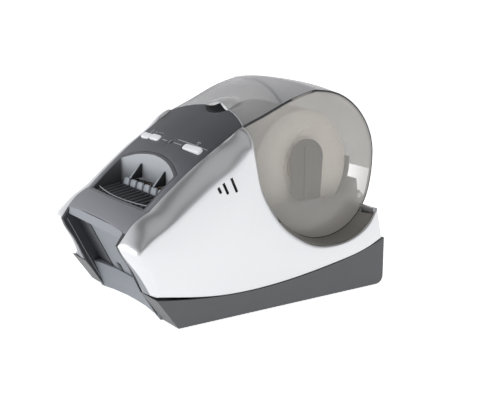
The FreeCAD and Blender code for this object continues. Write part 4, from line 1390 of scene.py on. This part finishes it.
class Inside(bpy.types.Operator):
    """Finish the mechanism and the electronics inside the housing"""

    bl_idname = "label_maker.inside"
    bl_label = "Inside"

    def execute(self, context):
        looks = {
            "steel": ["side_plate_right", "side_plate_left", "platen_shaft", "idler_post",
                      "motor_shaft", "feed_motor", "head_pivot_pin", "head_spring_left",
                      "head_spring_right", "cutter_blade", "fixed_blade", "cutter_motor"],
            "rib": ["cross_tray", "spring_shelf"],
            "platen": ["platen_roller"],
            "gear": ["platen_gear", "idler_gear", "cutter_gear", "head_carrier"],
            "bronze": ["motor_pinion", "shaft_bush_right", "shaft_bush_left"],
            "ceramic": ["print_head"],
            "alloy": ["heat_sink"],
            "board": ["button_board", "main_board", "power_board"],
        }
        for look, names in looks.items():
            for name in names:
                dress(name, look, round_by=0.15)
        return {"FINISHED"}


# Stage

def area_light(name, place, target, width, height, power, tint=(1.0, 1.0, 1.0)):
    """A rectangular soft light that the camera doesn't see."""
    light = bpy.data.lights.new(name, "AREA")
    light.shape = "RECTANGLE"
    light.size, light.size_y = width, height
    light.energy = power
    light.color = tint
    lamp = bpy.data.objects.new(name, light)
    lamp.location = place
    lamp.rotation_mode = "QUATERNION"
    lamp.rotation_quaternion = (Vector(target) - Vector(place)).to_track_quat("-Z", "Y")
    lamp.visible_camera = False
    bpy.context.scene.collection.objects.link(lamp)


class Stage(bpy.types.Operator):
    """Set up the pale floor, the soft studio lights and the camera"""

    bl_idname = "label_maker.stage"
    bl_label = "Stage"

    def execute(self, context):
        self.floor()
        self.sky(context.scene)
        area_light("overhead", (0.1, -0.1, 1.3), (0, 0, 0.05), 1.2, 1.2, 2.0)
        area_light("front_left", (-0.30, -0.62, 0.20), (0, -0.08, 0.06), 0.35, 0.3, 1.0,
                   (0.93, 0.97, 1.0))
        area_light("right", (1.5, 0.1, 0.55), (0, 0, 0.07), 0.8, 0.8, 0.5)
        self.camera(context.scene)
        context.scene.view_settings.view_transform = "Standard"
        return {"FINISHED"}

    def floor(self):
        """A wide pale floor that glows, with a painted pool of light that is brightest round the
        label maker.
        """
        mesh = bpy.data.meshes.new("floor")
        mesh.from_pydata([(-15, -15, 0), (15, -15, 0), (15, 15, 0), (-15, 15, 0)], [],
                         [(0, 1, 2, 3)])
        floor = bpy.data.objects.new("floor", mesh)
        bpy.context.scene.collection.objects.link(floor)
        r = Recipe("studio floor")
        paper = r.noise(60.0, 2.0)
        x, y = r.part_of("X"), r.part_of("Y")
        # painted pool of light: the glow is brightest near the middle and fades outwards
        painted_light_pool = r.between((x * x + y * y) ** 0.5, 0.16, 0.62)
        mesh.materials.append(r.finish(
            Base_Color=r.tint((0.93, 0.93, 0.93), (0.95, 0.95, 0.95), paper), Roughness=0.9,
            Emission_Color=r.tint((1.0, 1.0, 1.0), (0.86, 0.86, 0.86), painted_light_pool),
            Emission_Strength=0.82))

    def sky(self, scene):
        """Bright walls all round under a dark ceiling, which shades the silver shoulders."""
        r = Recipe("studio", "worlds")
        up = r.node("ShaderNodeSeparateXYZ",
                    inputs={0: r.node("ShaderNodeTexCoord", output="Generated")}, output="Z")
        stops = [(at, (shade, shade, shade * 1.02, 1))
                 for at, shade in ((0.0, 0.98), (0.28, 0.84), (0.62, 0.68), (0.82, 0.07))]
        ramp = r.node("ShaderNodeValToRGB", {"stops": stops}, {"Fac": up})
        back = r.node("ShaderNodeBackground", inputs={"Color": ramp, "Strength": 1.0})
        r.node("ShaderNodeOutputWorld", inputs={"Surface": back})
        scene.world = r.made

    def camera(self, scene):
        """A long lens from the front right, a little above the deck."""
        azimuth, elevation = math.radians(55.68), math.radians(13.94)
        back = Vector((math.sin(azimuth) * math.cos(elevation),
                       -math.cos(azimuth) * math.cos(elevation), math.sin(elevation)))
        data = bpy.data.cameras.new("camera")
        data.lens = 72.05
        data.sensor_width = 36.0
        data.clip_start, data.clip_end = 0.05, 60.0
        camera = bpy.data.objects.new("camera", data)
        camera.location = (0.5543, -0.3579, 0.2245)
        camera.rotation_mode = "QUATERNION"
        camera.rotation_quaternion = (-back).to_track_quat("-Z", "Y")
        scene.collection.objects.link(camera)
        scene.camera = camera


OPERATORS = (SilverSides, ControlPanel, PanelMarks, Buttons, LabelOutlet, Nose, RollCover,
             LabelRoll, BaseAndRear, Inside, Stage)


class LabelMakerPanel(bpy.types.Panel):
    """Lists the steps that build the label maker."""

    bl_idname = "VIEW3D_PT_label_maker"
    bl_label = "Label maker"
    bl_space_type = "VIEW_3D"
    bl_region_type = "UI"
    bl_category = "Label maker"

    def draw(self, context):
        for step in OPERATORS:
            self.layout.operator(step.bl_idname)


CLASSES = (LabelMakerSizes, LabelMakerColours, *OPERATORS, LabelMakerPanel)


def register():
    for kind in CLASSES:
        bpy.utils.register_class(kind)
    bpy.types.Scene.label_maker_sizes = bpy.props.PointerProperty(type=LabelMakerSizes)
    bpy.types.Scene.label_maker_colours = bpy.props.PointerProperty(type=LabelMakerColours)


def unregister():
    del bpy.types.Scene.label_maker_colours
    del bpy.types.Scene.label_maker_sizes
    for kind in reversed(CLASSES):
        bpy.utils.unregister_class(kind)


def main():
    register()
    steps = bpy.ops.label_maker
    steps.silver_sides()
    steps.control_panel()
    steps.panel_marks()
    steps.buttons()
    steps.label_outlet()
    steps.nose()
    steps.roll_cover()
    steps.label_roll()
    steps.base_and_rear()
    steps.inside()
    steps.stage()


if __name__ == "__main__":
    main()
